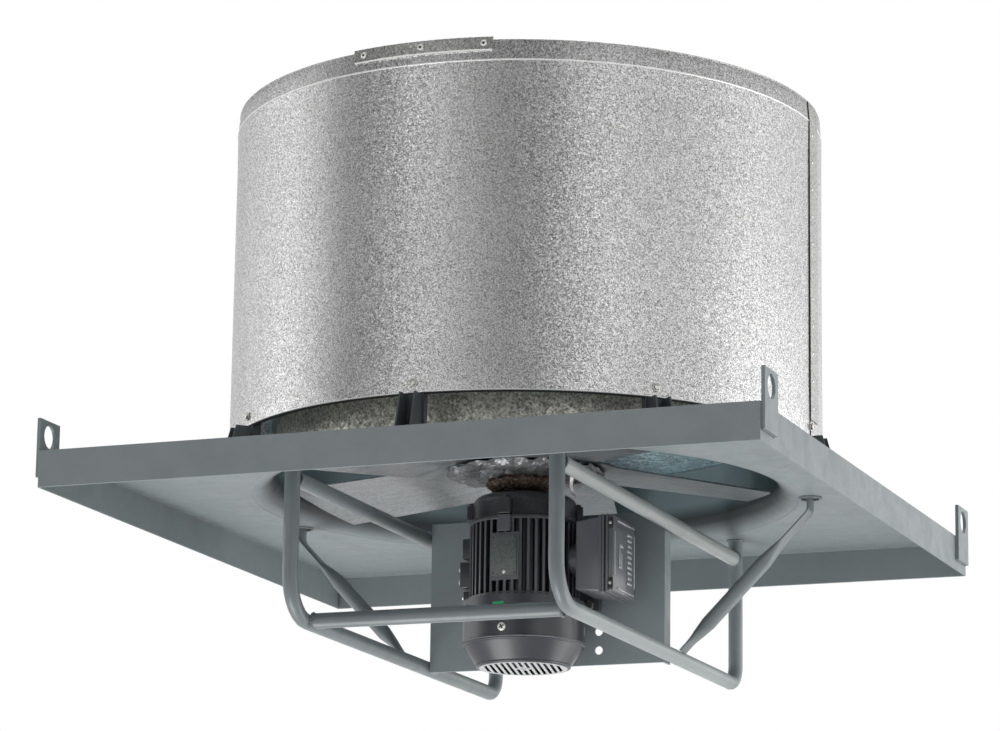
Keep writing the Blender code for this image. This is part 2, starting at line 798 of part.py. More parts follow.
def box_cover():
    half_y, half_z = BOX_OUTER
    low = BOX_OUTER_X + GASKET + 2 * GAP
    body = block(
        (low, -half_y - 0.001, BOX_CENTRE_Z - half_z - 0.001),
        (low + BOX_COVER, half_y + 0.001, BOX_CENTRE_Z + half_z + 0.001),
    )
    lid = add("terminal_box_cover", to_mesh("lid", body), MOTOR_PAINT)
    soften = lid.modifiers.new("soften", "BEVEL")
    soften.width = 0.003
    soften.segments = 2
    return lid


def nameplate():
    plate = block((-0.0195, -0.0810, -0.1240), (0.0195, -0.0798, -0.0640))
    return add("motor_nameplate", to_mesh("nameplate", plate), STEEL)


# ---------------------------------------------------------------- propeller


def propeller_hub():
    bore = SHAFT + GAP
    profile = [
        (HUB_BARREL - 0.002, 0.064),
        (HUB_BARREL, 0.062),
        (HUB_BARREL, HUB_FLANGE_TOP),
        (HUB_FLANGE, HUB_FLANGE_TOP),
        (HUB_FLANGE, HUB_FLANGE_TOP - 0.006),
        (HUB_BARREL + 0.012, HUB_FLANGE_TOP - 0.009),
        (HUB_BARREL + 0.008, 0.018),
        (HUB_BARREL, 0.013),
        (bore, 0.013),
        (bore, 0.064),
    ]
    return lathe("propeller_hub", profile, CAST, 32)


def blade_height(span, across):
    """Height of the blade's underside: a flat root tab that bends into the pitched blade."""
    tab = HUB_FLANGE_TOP + GAP
    share = (across + BLADE_LEAD) / (BLADE_LEAD + BLADE_TRAIL)
    outward = (span - BLADE_FULL) / (BLADE_TIP - BLADE_FULL)
    lead = 0.029 - 0.0244 * outward
    trail = 0.043 - 0.0160 * outward
    camber = 0.004 * math.sin(math.pi * share)
    pitched = lead + (trail - lead) * share + camber
    bend_start = HUB_FLANGE + 0.001
    blend = min(1.0, max(0.0, (span - bend_start) / (BLADE_FULL - bend_start)))
    return tab + (pitched - tab) * blend


def blade(index):
    """Blade sheet in its own frame, with its span along +X, then turned to its place."""
    spans = [BLADE_ROOT, 0.064, HUB_FLANGE + 0.001, 0.090, BLADE_FULL, 0.16, 0.22, 0.28, None]
    shares = [step / 5 for step in range(6)]
    form = bmesh.new()
    rows = len(spans) - 1
    columns = len(shares) - 1
    bmesh.ops.create_grid(form, x_segments=rows, y_segments=columns, size=1.0)
    for corner in form.verts:
        row = round((corner.co.x + 1) / 2 * rows)
        share = shares[round((corner.co.y + 1) / 2 * columns)]
        span = spans[row]
        widen = 1.0
        if span is not None:
            widen = min(1.0, max(0.0, (span - 0.064) / (BLADE_FULL - 0.064)))
        lead = BLADE_TAB + (BLADE_LEAD - BLADE_TAB) * widen
        trail = BLADE_TAB + (BLADE_TRAIL - BLADE_TAB) * widen
        across = -lead + (lead + trail) * share
        if span is None:
            span = math.sqrt(BLADE_TIP ** 2 - across ** 2)
        corner.co = Vector((span, across, blade_height(span, across)))
    name = f"blade_{index + 1}"
    paddle = add(name, to_mesh(name, form), STEEL)
    paddle.rotation_euler.z = BLADE_FIRST + math.tau * index / BLADE_COUNT
    thicken = paddle.modifiers.new("thicken", "SOLIDIFY")
    thicken.thickness = BLADE_SHEET
    thicken.offset = 1.0
    return paddle


# ---------------------------------------------------------------- damper


def door_outline(side):
    """Half disc with its straight edge by the hinge and two corners cut away at the rods' posts."""
    start = math.degrees(math.asin(0.023 / DOOR_RADIUS))
    rim = arc(0, 0, DOOR_RADIUS, start, 180 - start, 36)
    corners = [(-0.347, 0.022), (-0.347, 0.003), (0.347, 0.003), (0.347, 0.022)]
    return [(x, side * y) for x, y in rim + corners]


def damper_door(name, side):
    """Sheet door with two hinge sleeves round its own rod; its origin is on the hinge axis."""
    place = Matrix.Translation((0, 0, DOOR_REST + DOOR_SHEET / 2))
    door = sheet(name, [door_outline(side)], DOOR_SHEET, place, ZINC)
    for index, centre in enumerate((side * 0.08, side * -0.24)):
        low, high = centre - 0.022, centre + 0.022
        near, far = sorted((side * (HINGE_Y + 0.0062), side * (HINGE_Y + 0.0080)))
        leaf = block((low + 0.001, near, DOOR_REST + 0.0004), (high - 0.001, far, ROD_HEIGHT + 0.0012))
        join(door, helper(f"{name}_leaf_{index}", leaf))
        sleeve = bar((low, side * HINGE_Y, ROD_HEIGHT), (high, side * HINGE_Y, ROD_HEIGHT), SLEEVE, 20)
        join(door, helper(f"{name}_sleeve_{index}", sleeve))
    bore = bar((-0.3, side * HINGE_Y, ROD_HEIGHT), (0.3, side * HINGE_Y, ROD_HEIGHT), ROD + GAP, 20)
    cut(door, helper(f"{name}_bore", bore))
    door = settled(door, name, ZINC)
    door.data.transform(Matrix.Translation((0, -side * HINGE_Y, -ROD_HEIGHT)))
    door.location = (0, side * HINGE_Y, ROD_HEIGHT)
    return door


def damper_rods():
    """Two parallel rods, one for each door, held by a post at each end."""
    reach = POST_X + 0.007
    axle = bar((-reach, -HINGE_Y, ROD_HEIGHT), (reach, -HINGE_Y, ROD_HEIGHT), ROD, 20)
    rods = add("damper_hinge_rods", to_mesh("rod", axle), STEEL)
    other = bar((-reach, HINGE_Y, ROD_HEIGHT), (reach, HINGE_Y, ROD_HEIGHT), ROD, 20)
    wide = HINGE_Y + 0.0065
    for index, side in enumerate((-1, 1)):
        low, high = sorted((side * (POST_X - 0.005), side * (POST_X + 0.0045)))
        post = block((low, -wide, THROAT_TOP + GAP), (high, wide, ROD_HEIGHT + 0.0065))
        join(rods, helper(f"rod_post_{index}", post))
    join(rods, helper("rod_other", other))
    return rods


# ---------------------------------------------------------------- assembly


def build():
    curb_cap()
    inlet_venturi()
    holes = screw_holes()
    windband(holes)
    seam_strip()
    splice_plate()
    for index, degrees in enumerate(screw_places(), start=1):
        band_bracket(index, degrees, holes)
        band_screw(index, degrees)
    for side, hand in ((-1, "left"), (1, "right")):
        side_frame(f"side_frame_{hand}", side)
        upper_tube(f"upper_tube_{hand}", side)
        brace(f"brace_{hand}", side, BRACE_END_Y[hand])
        for end, place in ((-1, "front"), (1, "back")):
            lifting_lug(f"lifting_lug_{place}_{hand}", side, end)
    cross_tube()
    bolts = foot_holes()
    motor_plate(bolts)
    motor_housing(bolts)
    for index, (x, height) in enumerate(foot_bolt_places(), start=1):
        foot_bolt(index, x, height)
    drive_end_bell()
    fan_end_bell()
    fan_cover()
    cooling_fan()
    motor_shaft()
    motor_insides()
    terminal_box()
    box_gasket()
    box_cover()
    nameplate()
    propeller_hub()
    for index in range(BLADE_COUNT):
        blade(index)
    damper_rods()
    damper_door("damper_door_back", 1)
    damper_door("damper_door_front", -1)


build()
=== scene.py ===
"""Looks for the rooftop upblast exhaust fan: detailed pieces and procedural materials on the CAD frame,
a pale studio, and the camera at the photograph's angle. Lengths are in metres, in the CAD's axes:
X along the front skirt, Y towards the back, Z up, with the origin on the propeller's axis."""

import json
import math
import random

import bmesh
import bpy
from mathutils import Matrix, Vector, noise

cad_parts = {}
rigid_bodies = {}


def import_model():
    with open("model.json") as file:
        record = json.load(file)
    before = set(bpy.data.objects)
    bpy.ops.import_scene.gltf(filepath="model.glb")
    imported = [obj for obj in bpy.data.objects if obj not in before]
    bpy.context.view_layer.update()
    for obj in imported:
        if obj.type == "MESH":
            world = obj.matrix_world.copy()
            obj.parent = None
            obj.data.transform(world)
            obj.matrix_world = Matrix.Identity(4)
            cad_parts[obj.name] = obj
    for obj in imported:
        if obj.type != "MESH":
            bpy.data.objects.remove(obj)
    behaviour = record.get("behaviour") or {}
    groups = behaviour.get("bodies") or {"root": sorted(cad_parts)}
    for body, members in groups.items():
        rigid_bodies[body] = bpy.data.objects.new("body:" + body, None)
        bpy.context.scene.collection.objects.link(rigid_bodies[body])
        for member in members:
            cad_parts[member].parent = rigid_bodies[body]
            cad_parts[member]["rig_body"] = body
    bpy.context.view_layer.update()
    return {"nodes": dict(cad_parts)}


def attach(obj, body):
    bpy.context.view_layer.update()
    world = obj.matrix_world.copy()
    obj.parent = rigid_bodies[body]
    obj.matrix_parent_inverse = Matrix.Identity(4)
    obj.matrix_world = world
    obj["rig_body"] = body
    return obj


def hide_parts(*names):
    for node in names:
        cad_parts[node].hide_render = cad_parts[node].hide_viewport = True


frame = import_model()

NODES = frame["nodes"]
SCENE = bpy.context.scene

# ---- materials


class Tree:
    """A shader's nodes. An input that is given another node's output is linked to it."""

    def __init__(self, tree):
        self.tree = tree

    def fill(self, target, value):
        if isinstance(value, bpy.types.NodeSocket):
            self.tree.links.new(value, target)
        else:
            target.default_value = value

    def node(self, kind, inputs=None, **settings):
        made = self.tree.nodes.new("ShaderNode" + kind)
        for key, value in settings.items():
            setattr(made, key, value)
        for key, value in (inputs or {}).items():
            self.fill(made.inputs[key], value)
        return made

    def maths(self, operation, one, two):
        return self.node("Math", {0: one, 1: two}, operation=operation).outputs[0]

    def plus(self, one, two):
        return self.maths("ADD", one, two)

    def times(self, one, two):
        return self.maths("MULTIPLY", one, two)


class Look(Tree):
    """A procedural material: one Principled shader fed by nodes in object coordinates."""

    def __init__(self, name, slot, colour, roughness, metallic=0.0, specular=0.5, coat=0.0):
        self.material = bpy.data.materials.new(name)
        self.material.use_nodes = True
        self.material.diffuse_color = (*colour, 1.0)
        super().__init__(self.material.node_tree)
        self.shader = self.tree.nodes["Principled BSDF"]
        self.slot = slot
        self.colour = colour
        self.set("Base Color", (*colour, 1.0))
        self.set("Roughness", roughness)
        self.set("Metallic", metallic)
        self.set("Specular IOR Level", specular)
        self.set("Coat Weight", coat)
        self.set("Coat Roughness", 0.16)
        self.coordinates = self.node("TexCoord").outputs["Object"]

    def set(self, socket, value):
        self.fill(self.shader.inputs[socket], value)

    def place(self, stretch):
        if stretch is None:
            return self.coordinates
        inputs = {"Vector": self.coordinates, "Scale": stretch}
        return self.node("Mapping", inputs).outputs["Vector"]

    def noise(self, scale, detail=3.0, rough=0.55, stretch=None, warp=0.0):
        inputs = {
            "Vector": self.place(stretch), "Scale": scale, "Detail": detail, "Roughness": rough,
            "Distortion": warp,
        }
        return self.node("TexNoise", inputs).outputs["Fac"]

    def cells(self, scale, output="Color", stretch=None):
        inputs = {"Vector": self.place(stretch), "Scale": scale}
        return self.node("TexVoronoi", inputs).outputs[output]

    def channel(self, colour, which="Red"):
        return self.node("SeparateColor", {"Color": colour}).outputs[which]

    def along(self, axis):
        return self.node("SeparateXYZ", {"Vector": self.coordinates}).outputs[axis]

    def span(self, value, low, high, to_low=0.0, to_high=1.0):
        inputs = {"Value": value, "From Min": low, "From Max": high, "To Min": to_low, "To Max": to_high}
        return self.node("MapRange", inputs).outputs["Result"]

    def vector(self, operation, one, two=(0, 0, 0)):
        return self.node("VectorMath", {0: one, 1: two}, operation=operation).outputs[0]

    def mix(self, share, one, two):
        made = self.node("Mix", {0: share}, data_type="RGBA")
        for index, value in ((6, one), (7, two)):
            linked = isinstance(value, bpy.types.NodeSocket)
            self.fill(made.inputs[index], value if linked else (*value, 1.0))
        return made.outputs[2]

    def tint(self, share):
        """The base colour, scaled."""
        return tuple(min(1.0, c * share) for c in self.colour)

    def shade(self, value, low, high):
        """The base colour scaled from low to high times by a 0 to 1 value."""
        return self.mix(value, self.tint(low), self.tint(high))

    def bump(self, height, distance, strength=1.0, below=None):
        inputs = {"Height": height, "Distance": distance, "Strength": strength}
        if below is not None:
            inputs["Normal"] = below
        return self.node("Bump", inputs).outputs["Normal"]

    def glitter(self, colour, amount, below):
        """Tilts the normal a little, by a different amount on each crystal of a cell pattern."""
        centred = self.vector("SUBTRACT", colour, (0.5, 0.5, 0.5))
        lean = self.node("VectorMath", {0: centred, "Scale": amount}, operation="SCALE").outputs[0]
        return self.vector("NORMALIZE", self.vector("ADD", below, lean))


def paint_look(name, colour, roughness=0.42, dirt=0.1):
    """Sprayed enamel: faint clouds, fine orange peel and a little handling grime."""
    look = Look(name, "blue_grey_paint", colour, roughness)
    smudge = look.span(look.noise(23.0, 5.0, 0.65, warp=0.6), 0.42, 0.72)
    speck = look.span(look.noise(900.0, 2.0, 0.6), 0.62, 0.75, 0.0, 0.25)
    base = look.shade(look.noise(7.0, 4.0, 0.6), 1.0 - dirt, 1.0 + dirt)
    base = look.mix(look.times(smudge, 0.22), base, look.tint(0.72))
    look.set("Base Color", look.mix(speck, base, look.tint(1.5)))
    look.set("Roughness", look.span(smudge, 0.0, 1.0, roughness - 0.06, roughness + 0.12))
    peel = look.bump(look.noise(620.0, 2.0, 0.5), 0.00012, 0.55)
    look.set("Normal", look.bump(look.noise(11.0, 2.0), 0.0012, 0.35, peel))
    return look


def zinc_look(name, colour, roughness, grain=560.0, contrast=0.41, tilt=0.13):
    """Galvanised sheet: fine mottled crystals, each with its own brightness, gloss and tilt."""
    look = Look(name, "galvanised_sheet", colour, roughness, 0.8)
    big = look.cells(grain)
    small = look.cells(grain * 1.9)
    mottle = look.span(look.noise(grain * 1.25, 2.0, 0.6), 0.3, 0.7)
    value = look.plus(look.times(look.channel(big), 0.26), look.times(look.channel(small, "Green"), 0.3))
    value = look.span(look.plus(value, look.times(mottle, 0.44)), 0.28, 0.72)
    base = look.shade(value, 1.0 - contrast * 1.9, 1.0 + contrast * 1.5)
    clouds = look.noise(5.0, 4.0, 0.6, warp=0.4)
    base = look.mix(look.span(clouds, 0.42, 0.75, 0.0, 0.22), base, look.tint(0.66))
    runs = look.span(look.noise(9.0, 5.0, 0.7, (1.0, 1.0, 0.12), 0.8), 0.6, 0.78, 0.0, 0.16)
    look.set("Base Color", look.mix(runs, base, look.tint(1.25)))
    gloss = look.span(look.channel(big, "Blue"), 0, 1, roughness - 0.06, roughness + 0.06)
    look.set("Roughness", look.plus(gloss, look.span(clouds, 0.3, 0.7, -0.03, 0.05)))
    waves = look.bump(look.noise(4.0, 2.0, 0.5, (1, 1, 0.45)), 0.004, 0.5)
    look.set("Normal", look.glitter(big, tilt, waves))
    return look


def sheet_look(name, colour, roughness):
    """Mill finish sheet: rolling streaks, dull patches and a fine grain."""
    look = Look(name, "mill_finish_sheet", colour, roughness, 0.85)
    streaks = look.noise(160.0, 4.0, 0.7, (0.12, 1.0, 1.0))
    patches = look.noise(16.0, 5.0, 0.65, warp=1.2)
    value = look.plus(look.times(streaks, 0.45), look.times(patches, 0.35))
    value = look.plus(value, look.times(look.channel(look.cells(520.0)), 0.2))
    look.set("Base Color", look.shade(look.span(value, 0.3, 0.7), 0.58, 1.36))
    look.set("Roughness", look.span(patches, 0.3, 0.7, roughness - 0.1, roughness + 0.14))
    look.set("Normal", look.bump(streaks, 0.0001, 0.4, look.bump(look.noise(13.0, 2.0), 0.002, 0.5)))
    return look


def enamel_look(name, colour, roughness, casting, cloud=0.2, coat=0.25, dusty=0.35):
    """Dark motor enamel over a casting or a pressing."""
    look = Look(name, "motor_paint", colour, roughness, 0.0, 0.62, coat)
    dust = look.span(look.noise(240.0, 4.0, 0.7), 0.5, 0.78)
    base = look.shade(look.noise(30.0, 4.0, 0.6), 1.0 - cloud, 1.0 + cloud)
    look.set("Base Color", look.mix(look.times(dust, dusty), base, (0.11, 0.11, 0.12)))
    look.set("Roughness", look.span(dust, 0, 1, roughness - 0.05, roughness + 0.16 * dusty / 0.35))
    look.set("Normal", look.bump(look.noise(520.0, 3.0, 0.6), casting, 0.5))
    return look


def metal_look(name, colour, roughness, metallic=1.0, scale=300.0, wear=0.15, slot="plain_steel"):
    """Plain metal, rubber or plastic with a fine grain."""
    look = Look(name, slot, colour, roughness, metallic)
    grain = look.noise(scale, 4.0, 0.7)
    look.set("Base Color", look.shade(grain, 1.0 - wear, 1.0 + wear))
    look.set("Roughness", look.span(grain, 0.3, 0.7, roughness - 0.06, roughness + 0.12))
    look.set("Normal", look.bump(grain, 0.00012, 0.4))
    return look


def rust_look():
    """Rough brown casting with dark pits and a few bare, shiny spots."""
    look = Look("rusty_casting", "rusty_casting", (0.105, 0.064, 0.038), 0.8, 0.15)
    coarse = look.noise(120.0, 6.0, 0.75, warp=1.5)
    fine = look.noise(520.0, 4.0, 0.7)
    base = look.mix(look.span(coarse, 0.36, 0.62), (0.028, 0.02, 0.015), (0.17, 0.105, 0.06))
    bare = look.span(look.times(coarse, fine), 0.27, 0.36)
    look.set("Base Color", look.mix(bare, base, (0.5, 0.47, 0.43)))
    look.set("Metallic", look.times(bare, 0.9))
    look.set("Roughness", look.span(bare, 0, 1, 0.85, 0.38))
    look.set("Normal", look.bump(fine, 0.0008, 0.6, look.bump(coarse, 0.004, 0.8)))
    return look


def foil_look():
    """Crinkled bright foil: sharp facets with soft creases."""
    look = Look("crinkled_foil", "mill_finish_sheet", (0.225, 0.23, 0.235), 0.44, 0.5)
    facets = look.cells(95.0, stretch=(1, 1, 0.7))
    creases = look.cells(140.0, "Distance")
    look.set("Base Color", look.shade(look.channel(facets), 0.55, 1.25))
    look.set("Roughness", look.span(look.channel(facets, "Green"), 0, 1, 0.34, 0.58))
    look.set("Normal", look.glitter(facets, 0.34, look.bump(creases, 0.003, 0.7)))
    return look


def bell_look():
    """Enamel of the bell: the cap's tone at its mouth, painted shade round the curve, pale again in the
    throat.
    """
    look = paint_look("bell_enamel_painted_shade", (0.17, 0.195, 0.198), 0.4, 0.14)
    height = look.along("Z")
    # Painted shade: the enamel darkens round the bell's curve, where less light reaches it.
    mouth = look.mix(look.span(height, 0.0005, 0.016), (0.195, 0.222, 0.23), (0.03, 0.036, 0.038))
    look.set("Base Color", look.mix(look.span(height, 0.026, 0.046), mouth, (0.19, 0.235, 0.248)))
    look.set("Specular IOR Level", 0.25)
    return look


def right_frame_look():
    """Pipe enamel of the right side frame: plain on its front leg, with painted light along its run that
    fades towards its back leg.
    """
    look = paint_look("right_frame_enamel", PIPE_BLUE, 0.34, 0.2)
    place = look.along("Y")
    plain = look.shader.inputs["Base Color"].links[0].from_socket
    # Painted light: the run is made paler where light from the right falls on it, less so at the back leg.
    lit_run = look.mix(look.span(place, -0.365, -0.3, 0.0, 0.75), plain, (0.31, 0.34, 0.336))
    look.set("Base Color", look.mix(look.span(place, 0.3, 0.36, 0.0, 0.7), lit_run, (0.18, 0.205, 0.21)))
    return look


def fin_look():
    """Motor enamel with painted shade between the ribs and a painted highlight along their crests."""
    look = enamel_look("motor_fin_enamel", FIN_BLACK, 0.34, 0.0004, 0.2, 0.3, 0.12)
    flat = look.vector("MULTIPLY", look.coordinates, (1, 1, 0))
    reach = look.node("VectorMath", {0: flat}, operation="LENGTH").outputs["Value"]
    # Painted shade darkens the enamel between the ribs; a painted highlight lightens their crests.
    tone = look.mix(look.span(reach, 0.0695, 0.0765), (0.003, 0.003, 0.004), FIN_BLACK)
    look.set("Base Color", look.mix(look.span(reach, 0.0772, 0.0779), tone, (0.08, 0.083, 0.092)))
    return look


PIPE_BLUE = (0.16, 0.183, 0.187)
FIN_BLACK = (0.03, 0.031, 0.036)

PAINT = paint_look("blue_grey_enamel", (0.204, 0.233, 0.241))
# Painted light: a paler copy of the cap's enamel, which lifts the motor plate out of the frame's shade.
MOTOR_PLATE_LIT_ENAMEL = paint_look("motor_plate_painted_light_enamel", (0.228, 0.262, 0.272))
BELL = bell_look()
PIPE_PAINT = paint_look("blue_grey_pipe_enamel", PIPE_BLUE, 0.34, 0.2)
# Painted light: a paler copy of the pipe enamel for the upper right tube, which the light from the right
# falls on.
LIT_PIPE_PAINT = paint_look("pipe_enamel_painted_light", (0.3, 0.326, 0.32), 0.34, 0.24)
RIGHT_FRAME = right_frame_look()
WELD = paint_look("painted_weld", (0.155, 0.178, 0.184), 0.45, 0.2)
BRACKET_PAINT = paint_look("shaded_bracket_enamel", (0.062, 0.074, 0.08), 0.45, 0.16)
ZINC = zinc_look("galvanised_band", (0.89, 0.889, 0.878), 0.32)
ZINC_TRIM = zinc_look("galvanised_trim", (0.54, 0.54, 0.53), 0.34, 560.0, 0.34)
ZINC_OLD = zinc_look("galvanised_venturi", (0.58, 0.58, 0.525), 0.4, 240.0, 0.28, 0.24)
ZINC_BLUE = zinc_look("galvanised_blue", (0.48, 0.65, 0.7), 0.36, 200.0, 0.28, 0.26)
# Painted highlight: pale metal for bright lines along the band's fold and hem, the splice plate's hem and the
# hub's torn strip.
PALE_METAL_HIGHLIGHT = metal_look("metal_painted_highlight", (0.88, 0.88, 0.87), 0.3, 0.55, 500.0, 0.12, "galvanised_sheet")
BLADE = sheet_look("blade_sheet", (0.36, 0.377, 0.387), 0.38)
# Painted shade: a darker copy of the blade sheet for the blades that lie in shadow.
SHADED_BLADE = sheet_look("blade_sheet_painted_shade", (0.2, 0.225, 0.235), 0.42)
FINS = fin_look()
HOUSING = enamel_look("motor_casting_enamel", (0.019, 0.02, 0.024), 0.36, 0.0005, 0.2, 0.3)
COVER = enamel_look("motor_cover_enamel", (0.027, 0.03, 0.036), 0.38, 0.00003, 0.1, 0.15, 0.0)
# Painted reflection: the grille bars and the cover's rim are pale grey for the bright floor they reflect.
PAINTED_REFLECTION = enamel_look("grille_enamel_painted_reflection", (0.46, 0.47, 0.48), 0.24, 0.00006, 0.15, 0.6)
BOX = enamel_look("terminal_box_enamel", (0.098, 0.103, 0.117), 0.38, 0.00022, 0.12, 0.25, 0.1)
LID = enamel_look("terminal_lid_enamel", (0.098, 0.105, 0.112), 0.34, 0.00014, 0.15, 0.25, 0.12)
# Painted highlight: pale enamel for the cover's step edge and the lid's raised bars.
PALE_HIGHLIGHT_ENAMEL = enamel_look("relief_enamel_painted_highlight", (0.38, 0.395, 0.41), 0.3, 0.00008, 0.1, 0.4, 0.0)
STEEL = metal_look("zinc_plated_steel", (0.66, 0.65, 0.62), 0.3)
BRIGHT = metal_look("bright_zinc_plate", (0.85, 0.84, 0.8), 0.36, 0.6)
SHAFT_STEEL = metal_look("turned_steel", (0.6, 0.6, 0.6), 0.25)
COPPER = metal_look("varnished_winding", (0.42, 0.2, 0.1), 0.45, slot="winding")
LAMINATION = metal_look("rotor_laminations", (0.35, 0.35, 0.36), 0.45)
PLATE = metal_look("nameplate_metal", (0.125, 0.14, 0.135), 0.42, 0.45, 330.0, 0.75)
RUST = rust_look()
FOIL = foil_look()
RUBBER = metal_look("black_rubber", (0.018, 0.018, 0.019), 0.75, 0.0, 400.0, 0.3, "black_rubber")
PLASTIC = metal_look("black_plastic", (0.025, 0.025, 0.026), 0.5, 0.0, 300.0, 0.2, "black_plastic")
# Black for the nameplate's pins, and painted shade: shadow lines at the band's seam and hem, dark fills in
# the rivet hollows, the screw's cross and the lid's screw slots, and a dark disc behind the grille.
BLACK_AND_PAINTED_SHADE = metal_look("black_parts_and_painted_shade", (0.02, 0.02, 0.02), 0.7, 0.0, 300.0, 0.3, "black_rubber")
GREEN = metal_look("green_paint_dab", (0.01, 0.32, 0.1), 0.45, 0.0, 500.0, 0.2, "motor_paint")

# ---- mesh helpers

TOUCHING = 1e-6


def show(name, data):
    """A new object in the scene."""
    thing = bpy.data.objects.new(name, data)
    SCENE.collection.objects.link(thing)
    return thing


def piece(name, form, looks, stands_for=None, smooth=30, body="housing"):
    """Turns a bmesh into a visible piece that rides on a CAD body, the housing unless told, with its looks as
    its materials.
    """
    bmesh.ops.remove_doubles(form, verts=form.verts, dist=TOUCHING)
    bmesh.ops.recalc_face_normals(form, faces=form.faces)
    mesh = bpy.data.meshes.new(name)
    form.to_mesh(mesh)
    form.free()
    mesh.shade_smooth()
    mesh.set_sharp_from_angle(angle=math.radians(smooth))
    looks = looks if isinstance(looks, list) else [looks]
    for look in looks:
        mesh.materials.append(look.material)
    thing = show(name, mesh)
    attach(thing, body)
    if stands_for:
        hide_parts(stands_for)
    return thing


def soften(thing, width):
    """Rounds a piece's sharp edges, and keeps its flat faces flat in the shading."""
    step = thing.modifiers.new("round_edges", "BEVEL")
    step.width = width
    step.segments = 2
    step.limit_method = "ANGLE"
    step.angle_limit = math.radians(30)
    step.use_clamp_overlap = True
    step.miter_outer = "MITER_ARC"
    thing.modifiers.new("flat_shading", "WEIGHTED_NORMAL").keep_sharp = True


def skin(node, look, width=0.0, smooth=30):
    """A finished copy of a CAD node: its flat faces rejoined, its shading smoothed, its edges rounded."""
    form = bmesh.new()
    form.from_mesh(NODES[node].data)
    bmesh.ops.remove_doubles(form, verts=form.verts, dist=1e-5)
    bmesh.ops.dissolve_limit(form, angle_limit=math.radians(0.6), verts=form.verts, edges=form.edges)
    for face in form.faces:
        face.material_index = 0
    thing = piece(node + "_finish", form, look, node, smooth, NODES[node]["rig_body"])
    if width:
        soften(thing, width)


def gather(forms, places=(Matrix(),)):
    """One bmesh that holds a copy of each form at each place."""
    whole = bmesh.new()
    for form in forms:
        for place in places:
            mesh = bpy.data.meshes.new("part")
            form.to_mesh(mesh)
            mesh.transform(place)
            whole.from_mesh(mesh)
            bpy.data.meshes.remove(mesh)
        form.free()
    return whole


def copies(form, places):
    return gather([form], places)


def box(low, high):
    form = bmesh.new()
    bmesh.ops.create_cube(form, size=1.0)
    bmesh.ops.scale(form, vec=Vector(high) - Vector(low), verts=form.verts)
    bmesh.ops.translate(form, vec=(Vector(high) + Vector(low)) / 2, verts=form.verts)
    return form


def rounded(form, radius, segments):
    edges = list(form.edges)
    bmesh.ops.bevel(form, geom=edges, offset=radius, segments=segments, profile=0.5, affect="EDGES")
    return form


def rounded_box(low, high, radius, segments=3):
    return rounded(box(low, high), radius, segments)


def wall(form, one, two, index, after):
    form.faces.new((one[index], two[index], two[after], one[after]))


def loft(form, rings, closed=False):
    """Walls from each ring of points to the next, and two ends unless the last ring meets the first."""
    pairs = list(zip(rings, rings[1:]))
    if closed:
        pairs.append((rings[-1], rings[0]))
    else:
        form.faces.new(rings[0])
        form.faces.new(list(reversed(rings[-1])))
    for one, two in pairs:
        for index in range(len(one)):
            wall(form, one, two, index, (index + 1) % len(one))


def turned(profile, steps, start=0.0, end=360.0):
    """Sweeps a closed profile of (radius, height) points round Z."""
    form = bmesh.new()
    full = end - start >= 360.0
    rings = []
    for step in range(steps if full else steps + 1):
        angle = start + (end - start) * step / steps
        rings.append([form.verts.new(polar(radius, angle, height)) for radius, height in profile])
    loft(form, rings, full)
    bmesh.ops.remove_doubles(form, verts=form.verts, dist=TOUCHING)
    return form


def fillet(points, radius, steps=3, closed=True):
    """Rounds the corners of a flat outline."""
    made = []
    count = len(points)
    for index, point in enumerate(points):
        here = Vector(point)
        if not closed and index in (0, count - 1):
            made.append(tuple(here))
            continue
        before = Vector(points[index - 1]) - here
        after = Vector(points[(index + 1) % count]) - here
        reach = min(radius, before.length * 0.45, after.length * 0.45)
        start = here + before.normalized() * reach
        end = here + after.normalized() * reach
        for step in range(steps + 1):
            share = step / steps
            made.append(tuple(start.lerp(here, share).lerp(here.lerp(end, share), share)))
    return made


def tube(path, radii, closed=False):
    """An eight-sided tube along a path, with a radius for each point."""
    form = bmesh.new()
    count = len(path)
    normal = None
    rings = []
    for index, point in enumerate(path):
        before = path[index - 1] if index or closed else point
        after = path[(index + 1) % count] if index < count - 1 or closed else point
        travel = (after - before).normalized()
        if normal is None:
            other = Vector((0, 0, 1)) if abs(travel.z) < 0.9 else Vector((1, 0, 0))
            normal = travel.cross(other).normalized()
        normal = (normal - travel * normal.dot(travel)).normalized()
        facing = Matrix((normal, travel.cross(normal), travel)).transposed()
        rings.append([form.verts.new(point + facing @ polar(radii[index], 45 * step)) for step in range(8)])
    loft(form, rings, closed)
    return form


def at(place, axis=(0, 0, 1), spin=0.0):
    """A matrix that stands a shape's Z along an axis, at a place."""
    lean = Vector((0, 0, 1)).rotation_difference(Vector(axis)).to_matrix().to_4x4()
    return Matrix.Translation(Vector(place)) @ lean @ Matrix.Rotation(spin, 4, "Z")


def spun(degrees):
    return Matrix.Rotation(math.radians(degrees), 4, "Z")


def polar(radius, degrees, height=0.0):
    angle = math.radians(degrees)
    return Vector((radius * math.cos(angle), radius * math.sin(angle), height))


def clamp(value):
    return min(1.0, max(0.0, value))


def quarter(across, rise, steps):
    """Points of a quarter ellipse, from (across, 0) to (0, rise)."""
    turns = [math.radians(90 * step / steps) for step in range(steps + 1)]
    return [(across * math.cos(turn), rise * math.sin(turn)) for turn in turns]


